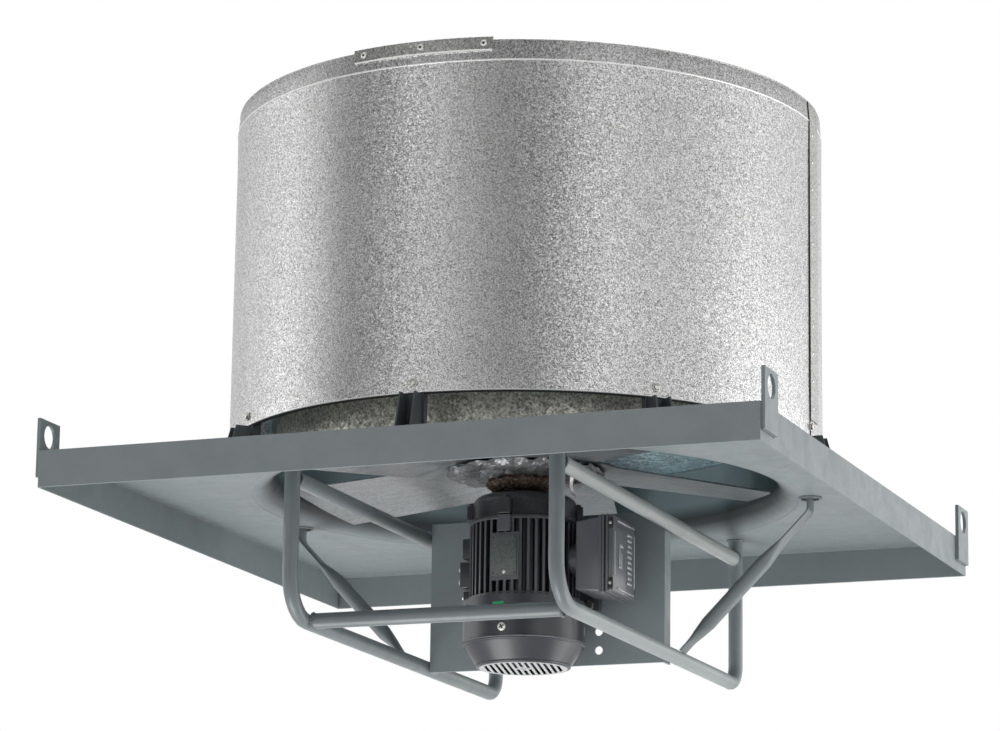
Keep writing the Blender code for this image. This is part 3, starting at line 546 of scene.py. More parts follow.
def bead(centre, axis, radius, thick, seed):
    """A lumpy ring of weld round a tube's end."""
    dice = random.Random(seed)
    count = max(24, int(radius * 5200))
    phase = dice.uniform(0, 6)
    place = at(centre, axis)
    path = []
    radii = []
    for step in range(count):
        angle = math.tau * step / count
        ripple = math.sin(angle * round(radius * 2100) + phase) * 0.14 + dice.uniform(-0.1, 0.1)
        path.append(place @ polar(radius, math.degrees(angle), ripple * thick * 0.5))
        radii.append(thick * (1.0 + ripple))
    return tube(path, radii, closed=True)


def seam(start, end, thick, seed):
    """A straight lumpy run of weld."""
    dice = random.Random(seed)
    start, end = Vector(start), Vector(end)
    count = max(6, int((end - start).length / 0.0016))
    path = [start.lerp(end, step / count) for step in range(count + 1)]
    ripples = [0.16 * math.sin(step * 2.3) + dice.uniform(-0.12, 0.12) for step in range(count + 1)]
    radii = [thick * (1 + ripple) for ripple in ripples]
    radii[0] = radii[-1] = thick * 0.45
    return tube(path, radii)


def button(radius, height, hole=0.0):
    """A domed rivet head on z = 0, with an optional hollow stem."""
    arc = quarter(radius, height, 8)
    if hole:
        arc = [(r, z) for r, z in arc if r > hole] + [(hole, height * 0.98), (hole, height * 0.1)]
    return turned([(0, -0.0006), (radius, -0.0006), *arc, (0, height * 0.1 if hole else height)], 20)


def hexagon(radius, low, high):
    """A hex head with a chamfered top."""
    form = bmesh.new()
    bmesh.ops.create_cone(
        form, cap_ends=True, segments=6, radius1=radius, radius2=radius, depth=high - low,
        matrix=Matrix.Translation((0, 0, (low + high) / 2)),
    )
    top = [edge for edge in form.edges if all(v.co.z > high - TOUCHING for v in edge.verts)]
    bmesh.ops.bevel(form, geom=top, offset=radius * 0.15, segments=2, profile=0.5, affect="EDGES")
    return form


def carve(form, cutter):
    """Cuts one bmesh out of another."""
    things = []
    for name, shape in (("carved", form), ("cutter", cutter)):
        mesh = bpy.data.meshes.new(name)
        bmesh.ops.recalc_face_normals(shape, faces=shape.faces)
        shape.to_mesh(mesh)
        shape.free()
        things.append(show(name, mesh))
    step = things[0].modifiers.new("carve", "BOOLEAN")
    step.solver = "EXACT"
    step.operation = "DIFFERENCE"
    step.use_self = True
    step.object = things[1]
    evaluated = things[0].evaluated_get(bpy.context.evaluated_depsgraph_get())
    made = bmesh.new()
    made.from_mesh(evaluated.to_mesh())
    evaluated.to_mesh_clear()
    for thing in things:
        bpy.data.meshes.remove(thing.data)
    return made


def screw(radius, height):
    """A pan-head screw with a cross recess, standing on z = 0."""
    outline = [(0, -0.0008), (radius, -0.0008), (radius, height * 0.55), (radius * 0.72, height), (0, height)]
    head = turned(fillet(outline, radius * 0.2), 28)
    wide, long = radius * 0.17, radius * 0.62
    cross = gather([
        box((-long, -wide, height * 0.35), (long, wide, height * 2)),
        box((-wide, -long, height * 0.35 + 1e-5), (wide, long, height * 2 + 1e-5)),
    ])
    return carve(head, cross)


# ---- cap, venturi and windband

CORNERS = ((-1, -1), (1, -1), (1, 1), (-1, 1))
CAP_SIDE = 0.508
MOUTH = 0.389
BELL_ROUND = 0.036
BELL_SHEET = 0.0015
THROAT = MOUTH - BELL_ROUND
DAMPER_SEAT = 0.098
BAND = 0.421
BAND_SHEET = 0.001
HEM = 0.0655
FOLD = 0.5205
RIM = 0.549
SCREW_HEIGHT = 0.079
ROUND = 240


def wall_at(height):
    """Outer radius of the windband, which leans in a little above its fold."""
    return BAND - 0.0025 * max(0.0, height - FOLD) / (RIM - FOLD)


def curb_cap():
    skin("curb_cap", PAINT, 0.0009)
    runs = []
    inset = CAP_SIDE - 0.0028
    for index, (x, y) in enumerate(CORNERS):
        corner = Vector((x * inset, y * inset, -0.0465))
        runs.append(seam(corner, corner + Vector((0, 0, 0.044)), 0.0015, index))
    piece("cap_corner_welds", gather(runs), WELD)


def venturi():
    inner, outer = (
        [(MOUTH - rise, BELL_ROUND - across) for across, rise in quarter(radius, radius, 24)]
        for radius in (BELL_ROUND, BELL_ROUND - BELL_SHEET)
    )
    under = DAMPER_SEAT - BELL_SHEET
    top = [(THROAT, DAMPER_SEAT), (0.362, DAMPER_SEAT), (0.362, under), (THROAT + BELL_SHEET, under)]
    form = turned(inner + top + list(reversed(outer)), 192)
    bmesh.ops.recalc_face_normals(form, faces=form.faces)
    for face in form.faces:
        centre = face.calc_center_median()
        facing = face.normal.dot(Vector((centre.x, centre.y, 0)).normalized())
        face.material_index = 0 if facing < -0.02 or (face.normal.z < -0.3 and facing < 0.6) else 1
    piece("inlet_venturi_finish", form, [BELL, ZINC_OLD], "inlet_venturi")
    lip = [(0.3862, 0.001), (0.3862, -0.0002), (0.3895, -0.0005), (0.3935, -0.0001), (0.3935, 0.0004)]
    piece("venturi_joint_sealer", turned(lip, 192), PAINT)


def dented(form):
    """Leans the band's wall in a little and lets it wander, but not at its hem or its fold."""
    for corner in form.verts:
        height = corner.co.z
        radius = math.hypot(corner.co.x, corner.co.y)
        angle = math.atan2(corner.co.y, corner.co.x)
        wave = (
            math.sin(3 * angle + 1.1 + 3.0 * height) + 0.7 * math.sin(7 * angle - 5.0 * height)
            + 0.5 * math.sin(13 * angle + 9.0 * height + 0.4)
        )
        fade = clamp(min(height - HEM, FOLD - height) / 0.05)
        scale = 1 - (0.00055 + 0.00022 * wave) * fade / radius
        corner.co.x *= scale
        corner.co.y *= scale
    return form


def windband():
    heights = [0.067, *(0.1 + 0.06 * step for step in range(7)), 0.505]
    heights += [FOLD - 0.0015, FOLD, FOLD + 0.0015, 0.535, RIM - 0.001]
    outside = [(wall_at(height), height) for height in heights]
    outside = [(BAND - 0.0002, HEM), *outside, (wall_at(RIM) - 0.0002, RIM)]
    inside = [(radius - BAND_SHEET, height) for radius, height in reversed(outside)]
    piece("windband_finish", dented(turned(outside + inside, ROUND)), ZINC, "windband", 22)
    out, back = BAND + 0.0006, BAND - 0.0006
    fold = [(back, FOLD - 0.0018), (out, FOLD - 0.0007), (out, FOLD + 0.0005), (back, FOLD + 0.0016)]
    # The fold's bright line is a painted highlight.
    piece("windband_rim_crease", turned(fillet(fold, 0.0006), ROUND), PALE_METAL_HIGHLIGHT, smooth=60)
    hem = fillet([(0.419, 0.0668), (0.419, 0.0652), (0.4208, 0.0652), (0.4213, 0.0668)], 0.0004, 2)
    # The hem's bright edge is a painted highlight.
    piece("windband_hem_edge", turned(hem, ROUND), PALE_METAL_HIGHLIGHT, smooth=50)
    # Painted shadow: a black ring just inside the band's lower edge, where the band shades the gap below it.
    dark = [(0.415, 0.0664), (0.415, 0.0636), (0.4192, 0.0636), (0.4192, 0.0664)]
    piece("windband_hem_painted_shadow", turned(dark, ROUND), BLACK_AND_PAINTED_SHADE)
    lip = fillet([(0.4172, 0.5478), (0.4189, 0.5478), (0.4189, 0.5495), (0.4172, 0.5495)], 0.0006)
    piece("windband_rim_edge", turned(lip, ROUND), ZINC_TRIM)


def strip(bottom, top, stand, thick, start, end, steps):
    """A strip of sheet that stands off the band's wall, between two heights and two azimuths."""
    heights = [bottom, FOLD, top] if bottom < FOLD < top else [bottom, top]
    inner = [(wall_at(h) + stand, h) for h in heights]
    outer = [(wall_at(h) + stand + thick, h) for h in reversed(heights)]
    return turned(inner + outer, steps, start, end)


def band_trim():
    top = RIM - 0.0002
    lap = strip(0.0892, top, 0.0003, 0.0011, 0.0, 5.8, 6)
    soften(piece("seam_strip_finish", lap, ZINC_TRIM, "windband_seam_strip"), 0.0003)
    # Painted shadow: a black strip along the seam strip's edge, where it stands proud of the band.
    piece("seam_strip_painted_shadow", strip(0.0662, top, 0.0001, 0.0007, -0.26, 0.03, 2), BLACK_AND_PAINTED_SHADE)
    heights = [0.1065 + 0.0395 * step for step in range(11)]
    rivets = [at(polar(wall_at(h) + 0.0013, 1.5, h), polar(1, 1.5)) for h in heights]
    piece("seam_strip_rivets", copies(button(0.0028, 0.0013), rivets), STEEL)
    low, middle = 0.5342, 0.544
    plate = strip(low, 0.5533, 0.0003, 0.0018, -104.0, -76.0, 24)
    soften(piece("splice_plate_finish", plate, ZINC_TRIM, "rim_splice_plate"), 0.0004)
    hem = ((0.0006, -0.0006), (0.0024, -0.0015), (0.0033, 0.0002), (0.0022, 0.0012))
    edge = [(wall_at(low) + stand, low + rise) for stand, rise in hem]
    # The splice plate's hem is pale as a painted highlight.
    piece("splice_plate_hem", turned(edge, 48, -103.6, -76.2), PALE_METAL_HIGHLIGHT, smooth=50)
    out = wall_at(middle) + 0.002
    places = [at(polar(out, turn, middle), polar(1, turn)) for turn in (-101.8, -89.9, -77.8)]
    piece("splice_plate_rivets", copies(button(0.0046, 0.0016, 0.0019), places), BRIGHT)
    # Painted shade: a black disc in each rivet's hollow.
    pin = turned([(0, 0.0002), (0.0018, 0.0002), (0.0017, 0.001), (0, 0.0011)], 12)
    piece("splice_plate_rivet_hollow_shade", copies(pin, places), BLACK_AND_PAINTED_SHADE)


def brackets_and_screws():
    washer = fillet([(0, 0), (0.0062, 0), (0.0058, 0.0011), (0, 0.0013)], 0.0003)
    for number in range(1, 9):
        skin(f"band_bracket_{number}", BRACKET_PAINT, 0.0006)
        turn = 45.0 * (number - 1)
        place = at(polar(BAND + 0.0002, turn, SCREW_HEIGHT), polar(1, turn), 0.3 * number)
        head = gather([hexagon(0.0048, 0.0008, 0.0041), turned(washer, 24)], [place])
        piece(f"band_screw_{number}_finish", head, STEEL, f"band_screw_{number}")


def bracket_feet():
    """Each bracket's outward foot: a base on the cap and two gussets up to the band's lower edge."""
    profile = [(0.4197, 0.0027), (0.458, 0.0027), (0.4575, 0.006), (0.4415, 0.0632), (0.4197, 0.0632)]
    parts = [rounded_box((0.4197, -0.0125, 0.0026), (0.46, 0.0125, 0.0048), 0.0006, 2)]
    for middle in (-0.0107, 0.0107):
        gusset = bmesh.new()
        faces = (middle - 0.0012, middle + 0.0012)
        loft(gusset, [[gusset.verts.new((x, y, z)) for x, z in profile] for y in faces])
        parts.append(gusset)
    feet = gather(parts, [spun(45.0 * number) for number in range(8)])
    piece("band_bracket_feet", feet, BRACKET_PAINT)


def lugs():
    for name in ("front_left", "front_right", "back_left", "back_right"):
        skin(f"lifting_lug_{name}", PAINT, 0.0008)
    runs = []
    side = CAP_SIDE + 0.0006
    for index, (x, y) in enumerate(CORNERS):
        for across in (0.4483, 0.5048):
            low = Vector((x * side, y * across, -0.0335))
            runs.append(seam(low, low + Vector((0, 0, 0.034)), 0.0014, index + 7))
        ends = [(x * side, y * across, -0.0337) for across in (0.449, 0.504)]
        runs.append(seam(*ends, 0.0014, index + 20))
    piece("lug_welds", gather(runs), WELD)


# ---- tube frame

PIPE = 0.01065
FRAME_X = 0.1898
LEG_Y = 0.3815


def tube_frame():
    for name in ("side_frame_left", "side_frame_right", "upper_tube_left", "upper_tube_right",
                 "frame_cross_tube", "brace_left", "brace_right"):
        # The upper right tube and the right side frame carry painted light in paler enamel.
        look = {"upper_tube_right": LIT_PIPE_PAINT, "side_frame_right": RIGHT_FRAME}.get(name, PIPE_PAINT)
        skin(name, look, smooth=50)
    welds = []
    wide, narrow = PIPE + 0.0004, PIPE - 0.0002
    for side in (-1, 1):
        x = side * FRAME_X
        for index, way in enumerate((-1, 1)):
            welds.append(bead((x, way * LEG_Y, -0.0012), (0, 0, 1), wide, 0.0022, 3 + index))
            welds.append(bead((x, way * (LEG_Y - wide), -0.0295), (0, 1, 0), narrow, 0.0018, 9 + index))
        welds.append(bead((x - side * (PIPE + 0.0006), -0.325, -0.217), (1, 0, 0), narrow, 0.0018, 15))
        for height in (-0.0295, -0.217):
            plate_edge = side * 0.179
            welds.append(seam((plate_edge, 0.0905, height), (plate_edge, 0.114, height), 0.0021, 31))
        welds.append(bead((side * 0.39, 0.101, -0.0009), (0, 0, 1), 0.0145, 0.0019, 21))
    piece("frame_welds", gather(welds), WELD)
    # The motor plate's paler enamel is painted light.
    skin("motor_plate", MOTOR_PLATE_LIT_ENAMEL, 0.0011)


# ---- motor

BOSS_TURNS = (-90, -35, 20, 90, 145, 200)


def motor_casting_details():
    """Bosses, through bolts, joint rings and side pads that the castings carry."""
    boss = rounded_box((0.066, -0.0085, -0.033), (0.0822, 0.0085, -0.0105), 0.0018)
    piece("bell_bosses", copies(boss, [spun(turn) for turn in BOSS_TURNS]), HOUSING, smooth=40)
    bolts = [at(polar(0.0745, turn, -0.0106)) for turn in BOSS_TURNS]
    piece("bell_bolts", copies(hexagon(0.005, 0, 0.0042), bolts), HOUSING)
    ring = [(0.07, -0.0405), (0.079, -0.0405), (0.0797, -0.0345), (0.07, -0.0345)]
    piece("bell_joint_ring", turned(fillet(ring, 0.0012), 96), HOUSING, smooth=50)
    pads = [
        rounded_box((-0.0865, -0.03, -0.127), (-0.07, 0.012, -0.09), 0.0016),
        rounded_box((-0.0845, -0.026, -0.085), (-0.07, 0.01, -0.056), 0.0016),
        rounded_box((-0.084, -0.022, -0.147), (-0.07, 0.006, -0.131), 0.0014),
    ]
    piece("side_pads", gather(pads), HOUSING, smooth=40)
    studs = [at((-0.0865, -0.02, z), (-1, 0, 0), 0.3) for z in (-0.1, -0.118)]
    studs.append(at((-0.084, -0.012, -0.139), (-0.4, -0.9, 0.0), 0.3))
    piece("side_pad_bolts", copies(hexagon(0.0042, 0, 0.0038), studs), SHAFT_STEEL)
    ring = [(0.07, -0.1478), (0.0775, -0.1478), (0.0785, -0.143), (0.07, -0.143)]
    piece("barrel_foot_ring", turned(fillet(ring, 0.001), 96), HOUSING, smooth=50)


def motor():
    skin("motor_housing", FINS, 0.0006, 25)
    skin("drive_end_bell", HOUSING, 0.0008, 35)
    skin("fan_end_bell", HOUSING, 0.0006, 35)
    motor_casting_details()
    for number in range(1, 5):
        skin(f"motor_bolt_{number}", STEEL, 0.0005)
    skin("stator", COPPER, 0.0004)
    skin("rotor_core", LAMINATION, 0.0004)
    for node in ("drive_end_bearing", "fan_end_bearing", "motor_shaft"):
        skin(node, SHAFT_STEEL, 0.0004)
    skin("cooling_fan", PLASTIC, 0.0004)
    plate = rounded_box((-0.0192, -0.0808, -0.1215), (0.0182, -0.0799, -0.0645), 0.0003, 2)
    piece("nameplate_finish", plate, PLATE, "motor_nameplate")
    pins = [at((x, -0.0808, z), (0, -1, 0)) for x in (-0.0165, 0.0155) for z in (-0.1185, -0.0675)]
    piece("nameplate_pins", copies(button(0.0011, 0.0004), pins), BLACK_AND_PAINTED_SHADE)
    seat = at((0.0, -0.0806, -0.1165), (0, -1, 0))
    piece("nameplate_screw", copies(screw(0.0026, 0.0014), [seat]), BRIGHT)


COVER_RADIUS = 0.0862
COVER_ROUND = 128


def cover():
    outside = [(COVER_RADIUS, -0.1483), (COVER_RADIUS, -0.209), (0.0848, -0.2118), (0.0672, -0.2372)]
    inside = [(0.0655, -0.2366), (0.083, -0.2112), (0.0847, -0.2085), (0.0847, -0.1483)]
    shell = turned(fillet(outside, 0.0016, 4, False) + inside, COVER_ROUND)
    piece("fan_cover_finish", shell, COVER, "fan_cover", 40)
    step = [(0.085, -0.2072), (0.0871, -0.2076), (0.0877, -0.2092), (0.0868, -0.2108), (0.0846, -0.2116)]
    piece("fan_cover_step", turned(fillet(step, 0.0006), COVER_ROUND), COVER, smooth=60)
    edge = [(0.0866, -0.2068), (0.0876, -0.2075), (0.0879, -0.2086), (0.0866, -0.208)]
    # Painted highlight along the cover's step edge.
    piece("fan_cover_painted_highlight_edge", turned(edge, COVER_ROUND), PALE_HIGHLIGHT_ENAMEL, smooth=60)
    collar = [
        (0.0575, -0.2385), (0.0575, -0.2411), (0.064, -0.2411), (0.0662, -0.2402), (0.0672, -0.2385),
        (0.0668, -0.2362), (0.0645, -0.2362), (0.064, -0.2385),
    ]
    piece("fan_cover_collar", turned(fillet(collar, 0.0007), COVER_ROUND), COVER, smooth=60)
    rim = fillet([(0.0575, -0.2405), (0.0575, -0.2414), (0.0622, -0.2414), (0.0622, -0.2405)], 0.0003, 2)
    # The rim's pale enamel is a painted reflection.
    piece("fan_cover_rim", turned(rim, COVER_ROUND), PAINTED_REFLECTION, smooth=60)
    grille()
    # Painted shade: a black disc behind the grille, for the dark inside of the cover.
    inner = turned([(0.0, -0.233), (0.06, -0.233), (0.06, -0.2324), (0.0, -0.2324)], 64)
    piece("fan_cover_shade_disc", inner, BLACK_AND_PAINTED_SHADE)
    seat = at((0, -0.0863, -0.1946), (0, -1, 0), 0.5)
    piece("fan_cover_screw", copies(screw(0.006, 0.0026), [seat]), BRIGHT)
    # Painted shade: a black cross in the screw's recess.
    cross = gather([
        box((-0.0036, -0.0008, 0.001), (0.0036, 0.0008, 0.0028)),
        box((-0.0008, -0.0036, 0.001), (0.0008, 0.0036, 0.00281)),
    ], [seat])
    piece("fan_cover_screw_cross_shade", cross, BLACK_AND_PAINTED_SHADE)
    dab = [(0.0861, -0.159), (0.0866, -0.1593), (0.0866, -0.1638), (0.0861, -0.1641)]
    piece("balance_dab", turned(dab, 8, -99.5, -88.5), GREEN)


def grille():
    """Straight bars across the cover's end, with a small cross at its middle."""
    bars = []
    reach, spacing, half_bar = 0.059, 0.0085, 0.0021
    for index in range(-7, 7):
        middle = (index + 0.5) * spacing
        if abs(middle) < reach - 0.003:
            half = math.sqrt(reach ** 2 - middle ** 2)
            low, high = (-half, middle - half_bar, -0.2413), (half, middle + half_bar, -0.2396)
            bars.append(rounded_box(low, high, 0.0005, 2))
    for x, y in ((0.0135, 0.0035), (0.0035, 0.0135)):
        bars.append(rounded_box((-x, -y, -0.24145), (x, y, -0.2398), 0.0004, 2))
    # The grille bars' pale enamel is a painted reflection.
    piece("fan_cover_grille", gather(bars, [spun(104)]), PAINTED_REFLECTION)


BOX_Z = -0.0915
LID_FACE = 0.149


def frustum(low_x, high_x, low_half, high_half, radius):
    """A rounded block whose half sizes along Y and Z change from its inner to its outer face."""
    form = bmesh.new()
    bmesh.ops.create_cube(form, size=2.0)
    for corner in form.verts:
        half_y, half_z = high_half if corner.co.x > 0 else low_half
        x = high_x if corner.co.x > 0 else low_x
        corner.co = Vector((x, corner.co.y * half_y, BOX_Z + corner.co.z * half_z))
    return rounded(form, radius, 3)


def terminal_box():
    shell = gather([
        frustum(0.0915, 0.1305, (0.041, 0.0485), (0.0462, 0.053), 0.0022),
        frustum(0.1285, 0.132, (0.0476, 0.0545), (0.048, 0.0549), 0.0008),
        frustum(0.1326, 0.136, (0.048, 0.0549), (0.0483, 0.0552), 0.0008),
        frustum(0.13, 0.1355, (0.0462, 0.053), (0.0466, 0.0534), 0.0005),
    ])
    piece("terminal_box_finish", shell, BOX, "terminal_box", 40)
    gasket = gather([
        frustum(0.1357, 0.1388, (0.0466, 0.0534), (0.0466, 0.0534), 0.0004),
        frustum(0.1366, 0.1378, (0.0472, 0.054), (0.0472, 0.054), 0.0004),
    ])
    piece("terminal_box_gasket_finish", gasket, RUBBER, "terminal_box_gasket")
    lid = gather([
        frustum(0.1384, 0.142, (0.0482, 0.0551), (0.0482, 0.0551), 0.0008),
        frustum(0.1416, LID_FACE, (0.047, 0.0539), (0.0468, 0.0537), 0.0016),
    ])
    piece("terminal_box_lid_finish", lid, LID, "terminal_box_cover", 40)
    lid_relief()
    # Painted shade: black ovals on the lid for its screw slots.
    slot = rounded_box((0.143, -0.0012, -0.0078), (0.1492, 0.0012, 0.0078), 0.0011)
    places = [Matrix.Translation((0, y, BOX_Z + z)) for z in (-0.0425, 0.0425) for y in (-0.0469, 0.0469)]
    piece("terminal_box_slot_shade", copies(slot, places), BLACK_AND_PAINTED_SHADE, smooth=40)
    seats = [at((0.1452, -0.048, BOX_Z + z), (0, -1, 0), 0.4) for z in (-0.0425, 0.0425)]
    piece("terminal_box_screws", copies(screw(0.0022, 0.0009), seats), STEEL)


def lid_relief():
    """Plain raised bars on the lid, given as their low and high corners in Y and Z."""
    relief = [
        ((-0.03, -0.049), (0.04, -0.0465)), ((-0.03, 0.0465), (0.04, 0.049)),
        ((0.0382, -0.038), (0.0408, 0.038)), ((-0.0428, -0.031), (-0.0402, 0.031)),
    ]
    for row in range(10):
        middle = -0.034 + row * 0.0076
        wide = (0.0105, 0.0078, 0.0092)[row % 3]
        relief.append(((0.02 - wide, middle - 0.0019), (0.02 + wide, middle + 0.0019)))
    relief += [
        ((-0.023, -0.014), (-0.019, 0.016)), ((-0.015, -0.018), (-0.0112, 0.006)),
        ((-0.02, 0.012), (-0.006, 0.016)), ((-0.024, -0.018), (-0.008, -0.0145)),
    ]
    inner, outer = LID_FACE - 0.0006, LID_FACE + 0.0016
    raised = [
        rounded_box((inner, low_y, BOX_Z + low_z), (outer, high_y, BOX_Z + high_z), 0.0007, 2)
        for (low_y, low_z), (high_y, high_z) in relief
    ]
    # The raised bars are pale as a painted highlight.
    piece("terminal_box_lid_relief", gather(raised), PALE_HIGHLIGHT_ENAMEL, smooth=40)


# ---- propeller

BLADES = 5
# Blades given the darker sheet as painted shade.
SHADED_BLADES = (2, 3, 4)
FIRST_TURN = 177.2
LEAD, TRAIL, ROOT_HALF = 0.115, 0.056, 0.03
WIDENS_FROM, LIFTS_FROM, FULL_AT, TIP = 0.064, 0.076, 0.105, 0.3463
ROOT_HEIGHT = 0.0463
BLADE_SHEET = 0.0025


def blade_height(span, across):
    """Height of a blade's lower face: flat on the hub's flange, then pitched and a little crowned."""
    share = (across + LEAD) / (LEAD + TRAIL)
    outward = (span - FULL_AT) / (0.3465 - FULL_AT)
    lead = 0.029 - 0.0244 * outward
    trail = 0.043 - 0.016 * outward
    pitched = lead + (trail - lead) * share + 0.004 * math.sin(math.pi * share)
    return ROOT_HEIGHT + (pitched - ROOT_HEIGHT) * clamp((span - LIFTS_FROM) / (FULL_AT - LIFTS_FROM))


def blade(index):
    """A sheet blade with a folded root and a round tip. Returns the places of its rivets."""
    spans = [0.052, WIDENS_FROM, 0.074, LIFTS_FROM, 0.079, 0.085, 0.091, 0.097, 0.102, FULL_AT, 0.109]
    spans += [*(0.12 + 0.0125 * step for step in range(18)), math.inf]
    columns = 28
    form = bmesh.new()
    sheets = []
    for lift in (0.0, BLADE_SHEET):
        grid = []
        for span in spans:
            widen = clamp((span - WIDENS_FROM) / (FULL_AT - WIDENS_FROM))
            lead = ROOT_HALF + (LEAD - ROOT_HALF) * widen
            trail = ROOT_HALF + (TRAIL - ROOT_HALF) * widen
            line = []
            for column in range(columns + 1):
                across = -lead + (lead + trail) * column / columns
                reach = min(span, math.sqrt(TIP ** 2 - across ** 2))
                line.append(form.verts.new((reach, across, blade_height(reach, across) + lift)))
            grid.append(line)
        sheets.append(grid)
    low, high = sheets
    strips = [pair for grid in sheets for pair in zip(grid, grid[1:])]
    strips += [(low[row], high[row]) for row in (0, -1)]
    strips += [([line[end] for line in low], [line[end] for line in high]) for end in (0, -1)]
    for one, two in strips:
        for place in range(len(one) - 1):
            wall(form, one, two, place, place + 1)
    turn = spun(FIRST_TURN + 360 * index / BLADES)
    form.transform(turn)
    # The listed blades get the darker sheet as painted shade.
    look = SHADED_BLADE if index in SHADED_BLADES else BLADE
    piece(f"blade_{index + 1}_finish", form, look, f"blade_{index + 1}", 40, "rotor")
    rivets = ((0.0585, -0.016), (0.0585, 0.016), (0.0685, 0.0))
    return [at(turn @ Vector((span, across, 0.0399)), (0, 0, -1)) for span, across in rivets]


def crumpled(profile, steps, jag, seed):
    """A turned shell whose points are pushed about, in both directions, like crushed foil."""
    dice = random.Random(seed)
    form = turned(profile, steps)
    for corner in form.verts:
        out = Vector((corner.co.x, corner.co.y, 0)).normalized()
        rough = noise.noise(corner.co * 95.0) + 0.6 * noise.noise(corner.co * 260.0 + Vector((seed, 0, 0)))
        corner.co += out * (rough * jag + dice.uniform(-0.3, 0.3) * jag)
        lift = noise.noise(corner.co * 140.0 + Vector((0, seed, 0))) + dice.uniform(-0.3, 0.3)
        corner.co.z += lift * jag
    return form


def creased(profile, steps):
    """A turned sheet folded along sharp ridges, with both of its faces moved alike."""
    form = turned(profile, steps)
    for corner in form.verts:
        spot = Vector((corner.co.x, corner.co.y, 0))
        ridge = abs(noise.noise(spot * 42.0)) + 0.5 * abs(noise.noise(spot * 90.0 + Vector((3, 1, 0))))
        corner.co.z += 0.011 * (ridge - 0.22) * clamp((spot.length - 0.04) / 0.02)
    return form


def torn_strip():
    """The strip torn from the creased sheet, which curls down and out to a narrow end."""
    form = bmesh.new()
    out = polar(1, -11)
    section = ((-1, 0), (1, 0.001), (1, 0.0019), (-1, 0.0009))
    path = [(0.08, -14, 0.03), (0.077, -13, 0.022), (0.0745, -11, 0.013), (0.075, -8, 0.004)]
    path.append((0.079, -7, -0.001))
    rings = []
    for step, place in enumerate(path):
        side = Vector((-out.y, out.x, 0.2 * step)) * (0.0042 - 0.0007 * step)
        rings.append([form.verts.new(polar(*place) + side * edge + out * lift) for edge, lift in section])
    loft(form, rings)
    return form


def hub_wrap():
    """The rough collar round the hub's foot and the creased sheet over its flange."""
    collar = [
        (0.0348, 0.0135), (0.043, 0.0122), (0.05, 0.015), (0.0545, 0.019), (0.055, 0.0225),
        (0.05, 0.0262), (0.044, 0.0285), (0.04, 0.03), (0.0362, 0.028),
    ]
    piece("hub_collar", crumpled(collar, 150, 0.0036, 5), RUST, smooth=18, body="rotor")
    lower = [
        (0.0425, 0.0255), (0.05, 0.0265), (0.056, 0.029), (0.064, 0.0315), (0.072, 0.033),
        (0.08, 0.0325), (0.088, 0.0318), (0.096, 0.0322), (0.104, 0.0335), (0.112, 0.035),
    ]
    sheet = lower + [(radius, height + 0.0009) for radius, height in reversed(lower)]
    # The torn strip is bright foil, made paler still as a painted highlight.
    piece("hub_torn_strip", torn_strip(), PALE_METAL_HIGHLIGHT, smooth=50, body="rotor")
    piece("hub_creased_sheet", creased(sheet, 96), FOIL, smooth=12, body="rotor")


def propeller():
    seats = []
    for index in range(BLADES):
        seats += blade(index)
    piece("blade_rivets", copies(button(0.0042, 0.0022), seats), STEEL, body="rotor")
    skin("propeller_hub", RUST, 0.0012, 35)
    hub_wrap()


def damper():
    for name in ("back", "front"):
        skin(f"damper_door_{name}", ZINC_BLUE, 0.0003, 35)
    skin("damper_hinge_rods", STEEL, 0.0006, 35)


for build in (curb_cap, venturi, windband, band_trim, brackets_and_screws, bracket_feet, lugs, tube_frame,
              motor, cover, terminal_box, propeller, damper):
    build()

# ---- studio and camera

CAMERA_AZIMUTH = -69.1
# Brightness of the studio, by degrees to the right of the camera as seen from the object, and by height.
STUDIO = [
    (-175, 1.0), (-154, 0.72), (-129, 1.05), (-103, 1.78), (-86, 0.9), (-71, 0.12), (-56, 0.5),
    (-40, 1.18), (-22, 0.58), (-4, 0.12), (10, 0.5), (28, 1.32), (45, 0.95), (61, 0.92), (97, 1.32),
    (124, 1.05), (160, 0.9),
]
SKY = [(-1, 1.0), (-0.05, 1.0), (0.12, 1.24), (0.22, 0.97), (0.42, 0.33), (0.7, 0.38), (1, 2.0)]
WHITE = (1, 1, 1, 1)


def grey_ramp(tree, place, stops):
    """A smooth run of greys through (place, brightness) stops, the first at 0 and the last at 1."""
    made = tree.node("ValToRGB", {"Fac": place})
    made.color_ramp.interpolation = "EASE"
    greys = made.color_ramp.elements
    for position, value in stops[1:-1]:
        greys.new(position).color = (value, value, value, 1)
    for index in (0, -1):
        greys[index].color = (stops[index][1],) * 3 + (1,)
    return made.outputs["Color"]


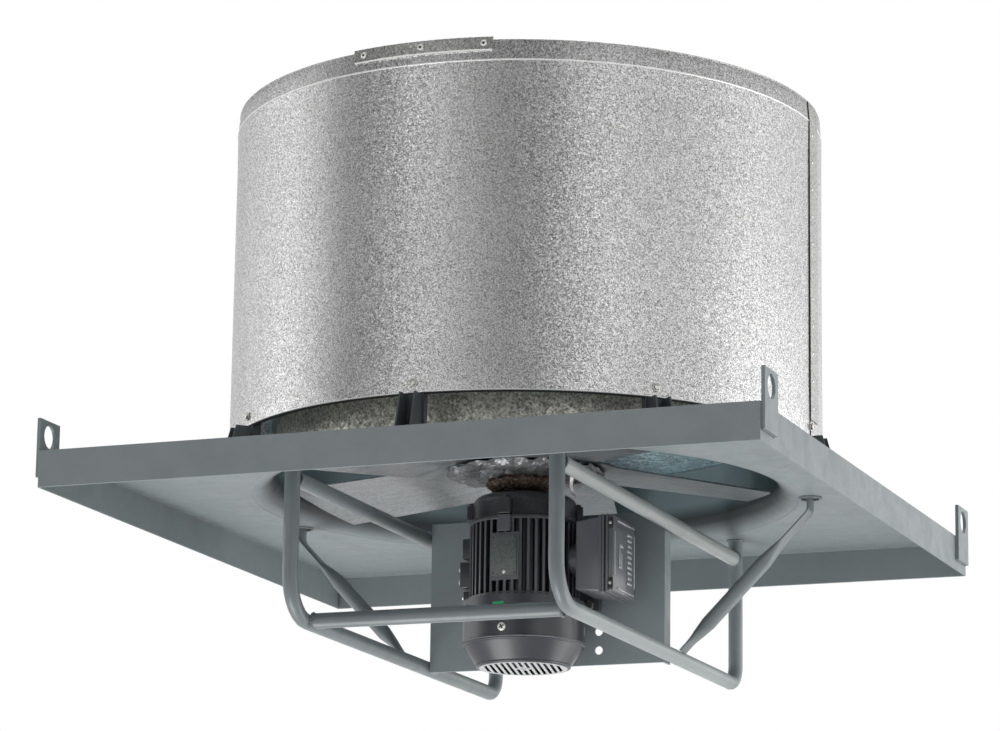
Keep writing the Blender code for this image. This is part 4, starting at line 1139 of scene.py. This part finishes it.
def world():
    """White behind the object for the camera; for everything else a studio that varies round the horizon."""
    sky = bpy.data.worlds.new("studio")
    sky.use_nodes = True
    tree = Tree(sky.node_tree)
    tree.tree.nodes.clear()
    place = tree.node("TexCoord").outputs["Generated"]
    split = tree.node("SeparateXYZ", {"Vector": place}).outputs
    azimuth = tree.maths("DIVIDE", tree.maths("ARCTAN2", split["Y"], split["X"]), math.tau)
    stops = sorted(((CAMERA_AZIMUTH + degrees + 180) % 360 / 360, value) for degrees, value in STUDIO)
    ends = (stops[0][1] + stops[-1][1]) / 2
    ring = grey_ramp(tree, tree.plus(azimuth, 0.5), [(0, ends), *stops, (1, ends)])
    rise = tree.plus(tree.times(split["Z"], 0.5), 0.5)
    height = grey_ramp(tree, rise, [(up / 2 + 0.5, value) for up, value in SKY])
    studio = {"Color": WHITE, "Strength": tree.times(ring, height)}
    rest = tree.node("Background", studio).outputs["Background"]
    seen = tree.node("Background", {"Color": WHITE}).outputs["Background"]
    direct = tree.node("LightPath").outputs["Is Camera Ray"]
    pick = tree.node("MixShader", {"Fac": direct, 1: rest, 2: seen}).outputs["Shader"]
    tree.node("OutputWorld", {"Surface": pick})
    SCENE.world = sky


def lamp(name, where, target, size, power):
    """A square softbox that the camera doesn't see."""
    data = bpy.data.lights.new(name, "AREA")
    data.size = size
    data.energy = power
    thing = show(name, data)
    thing.location = where
    thing.rotation_euler = (Vector(target) - Vector(where)).to_track_quat("-Z", "Y").to_euler()
    thing.visible_camera = False


def pale_floor():
    form = bmesh.new()
    bmesh.ops.create_grid(form, x_segments=1, y_segments=1, size=60)
    mesh = bpy.data.meshes.new("floor")
    form.to_mesh(mesh)
    form.free()
    look = Look("floor_white", None, (0.86, 0.86, 0.86), 0.9)
    look.set("Base Color", look.shade(look.noise(2.0, 2.0), 0.99, 1.01))
    mesh.materials.append(look.material)
    floor = show("floor", mesh)
    floor.location = (0, 0, -6.0)


def photo_camera():
    """The pinhole fitted to the cap's corners and the band's circles."""
    data = bpy.data.cameras.new("camera")
    data.lens = 142.4
    data.clip_end = 200.0
    camera = show("camera", data)
    view = Vector((-0.35376, 0.90732, 0.22724)).normalized()
    right = Vector((0.93169, 0.36326, 0)).normalized()
    up = right.cross(view).normalized()
    roll = 0.0136428
    across = right * math.cos(roll) + up * math.sin(roll)
    above = up * math.cos(roll) - right * math.sin(roll)
    facing = Matrix((across, above, -view)).transposed().to_4x4()
    camera.matrix_world = Matrix.Translation((1.9631, -5.141, -1.0886)) @ facing
    SCENE.camera = camera
    SCENE.view_settings.view_transform = "Standard"
    SCENE.view_settings.look = "None"


world()
lamp("right_softbox", (2.2, 1.4, -0.6), (0.5, 0.4, -0.1), 2.8, 20)
lamp("under_softbox", (-1.1, -0.9, -2.9), (0, 0, 0), 2.0, 58)
lamp("low_right_softbox", (2.2, 0.9, -1.4), (0.2, 0, -0.1), 1.7, 18)
pale_floor()
photo_camera()
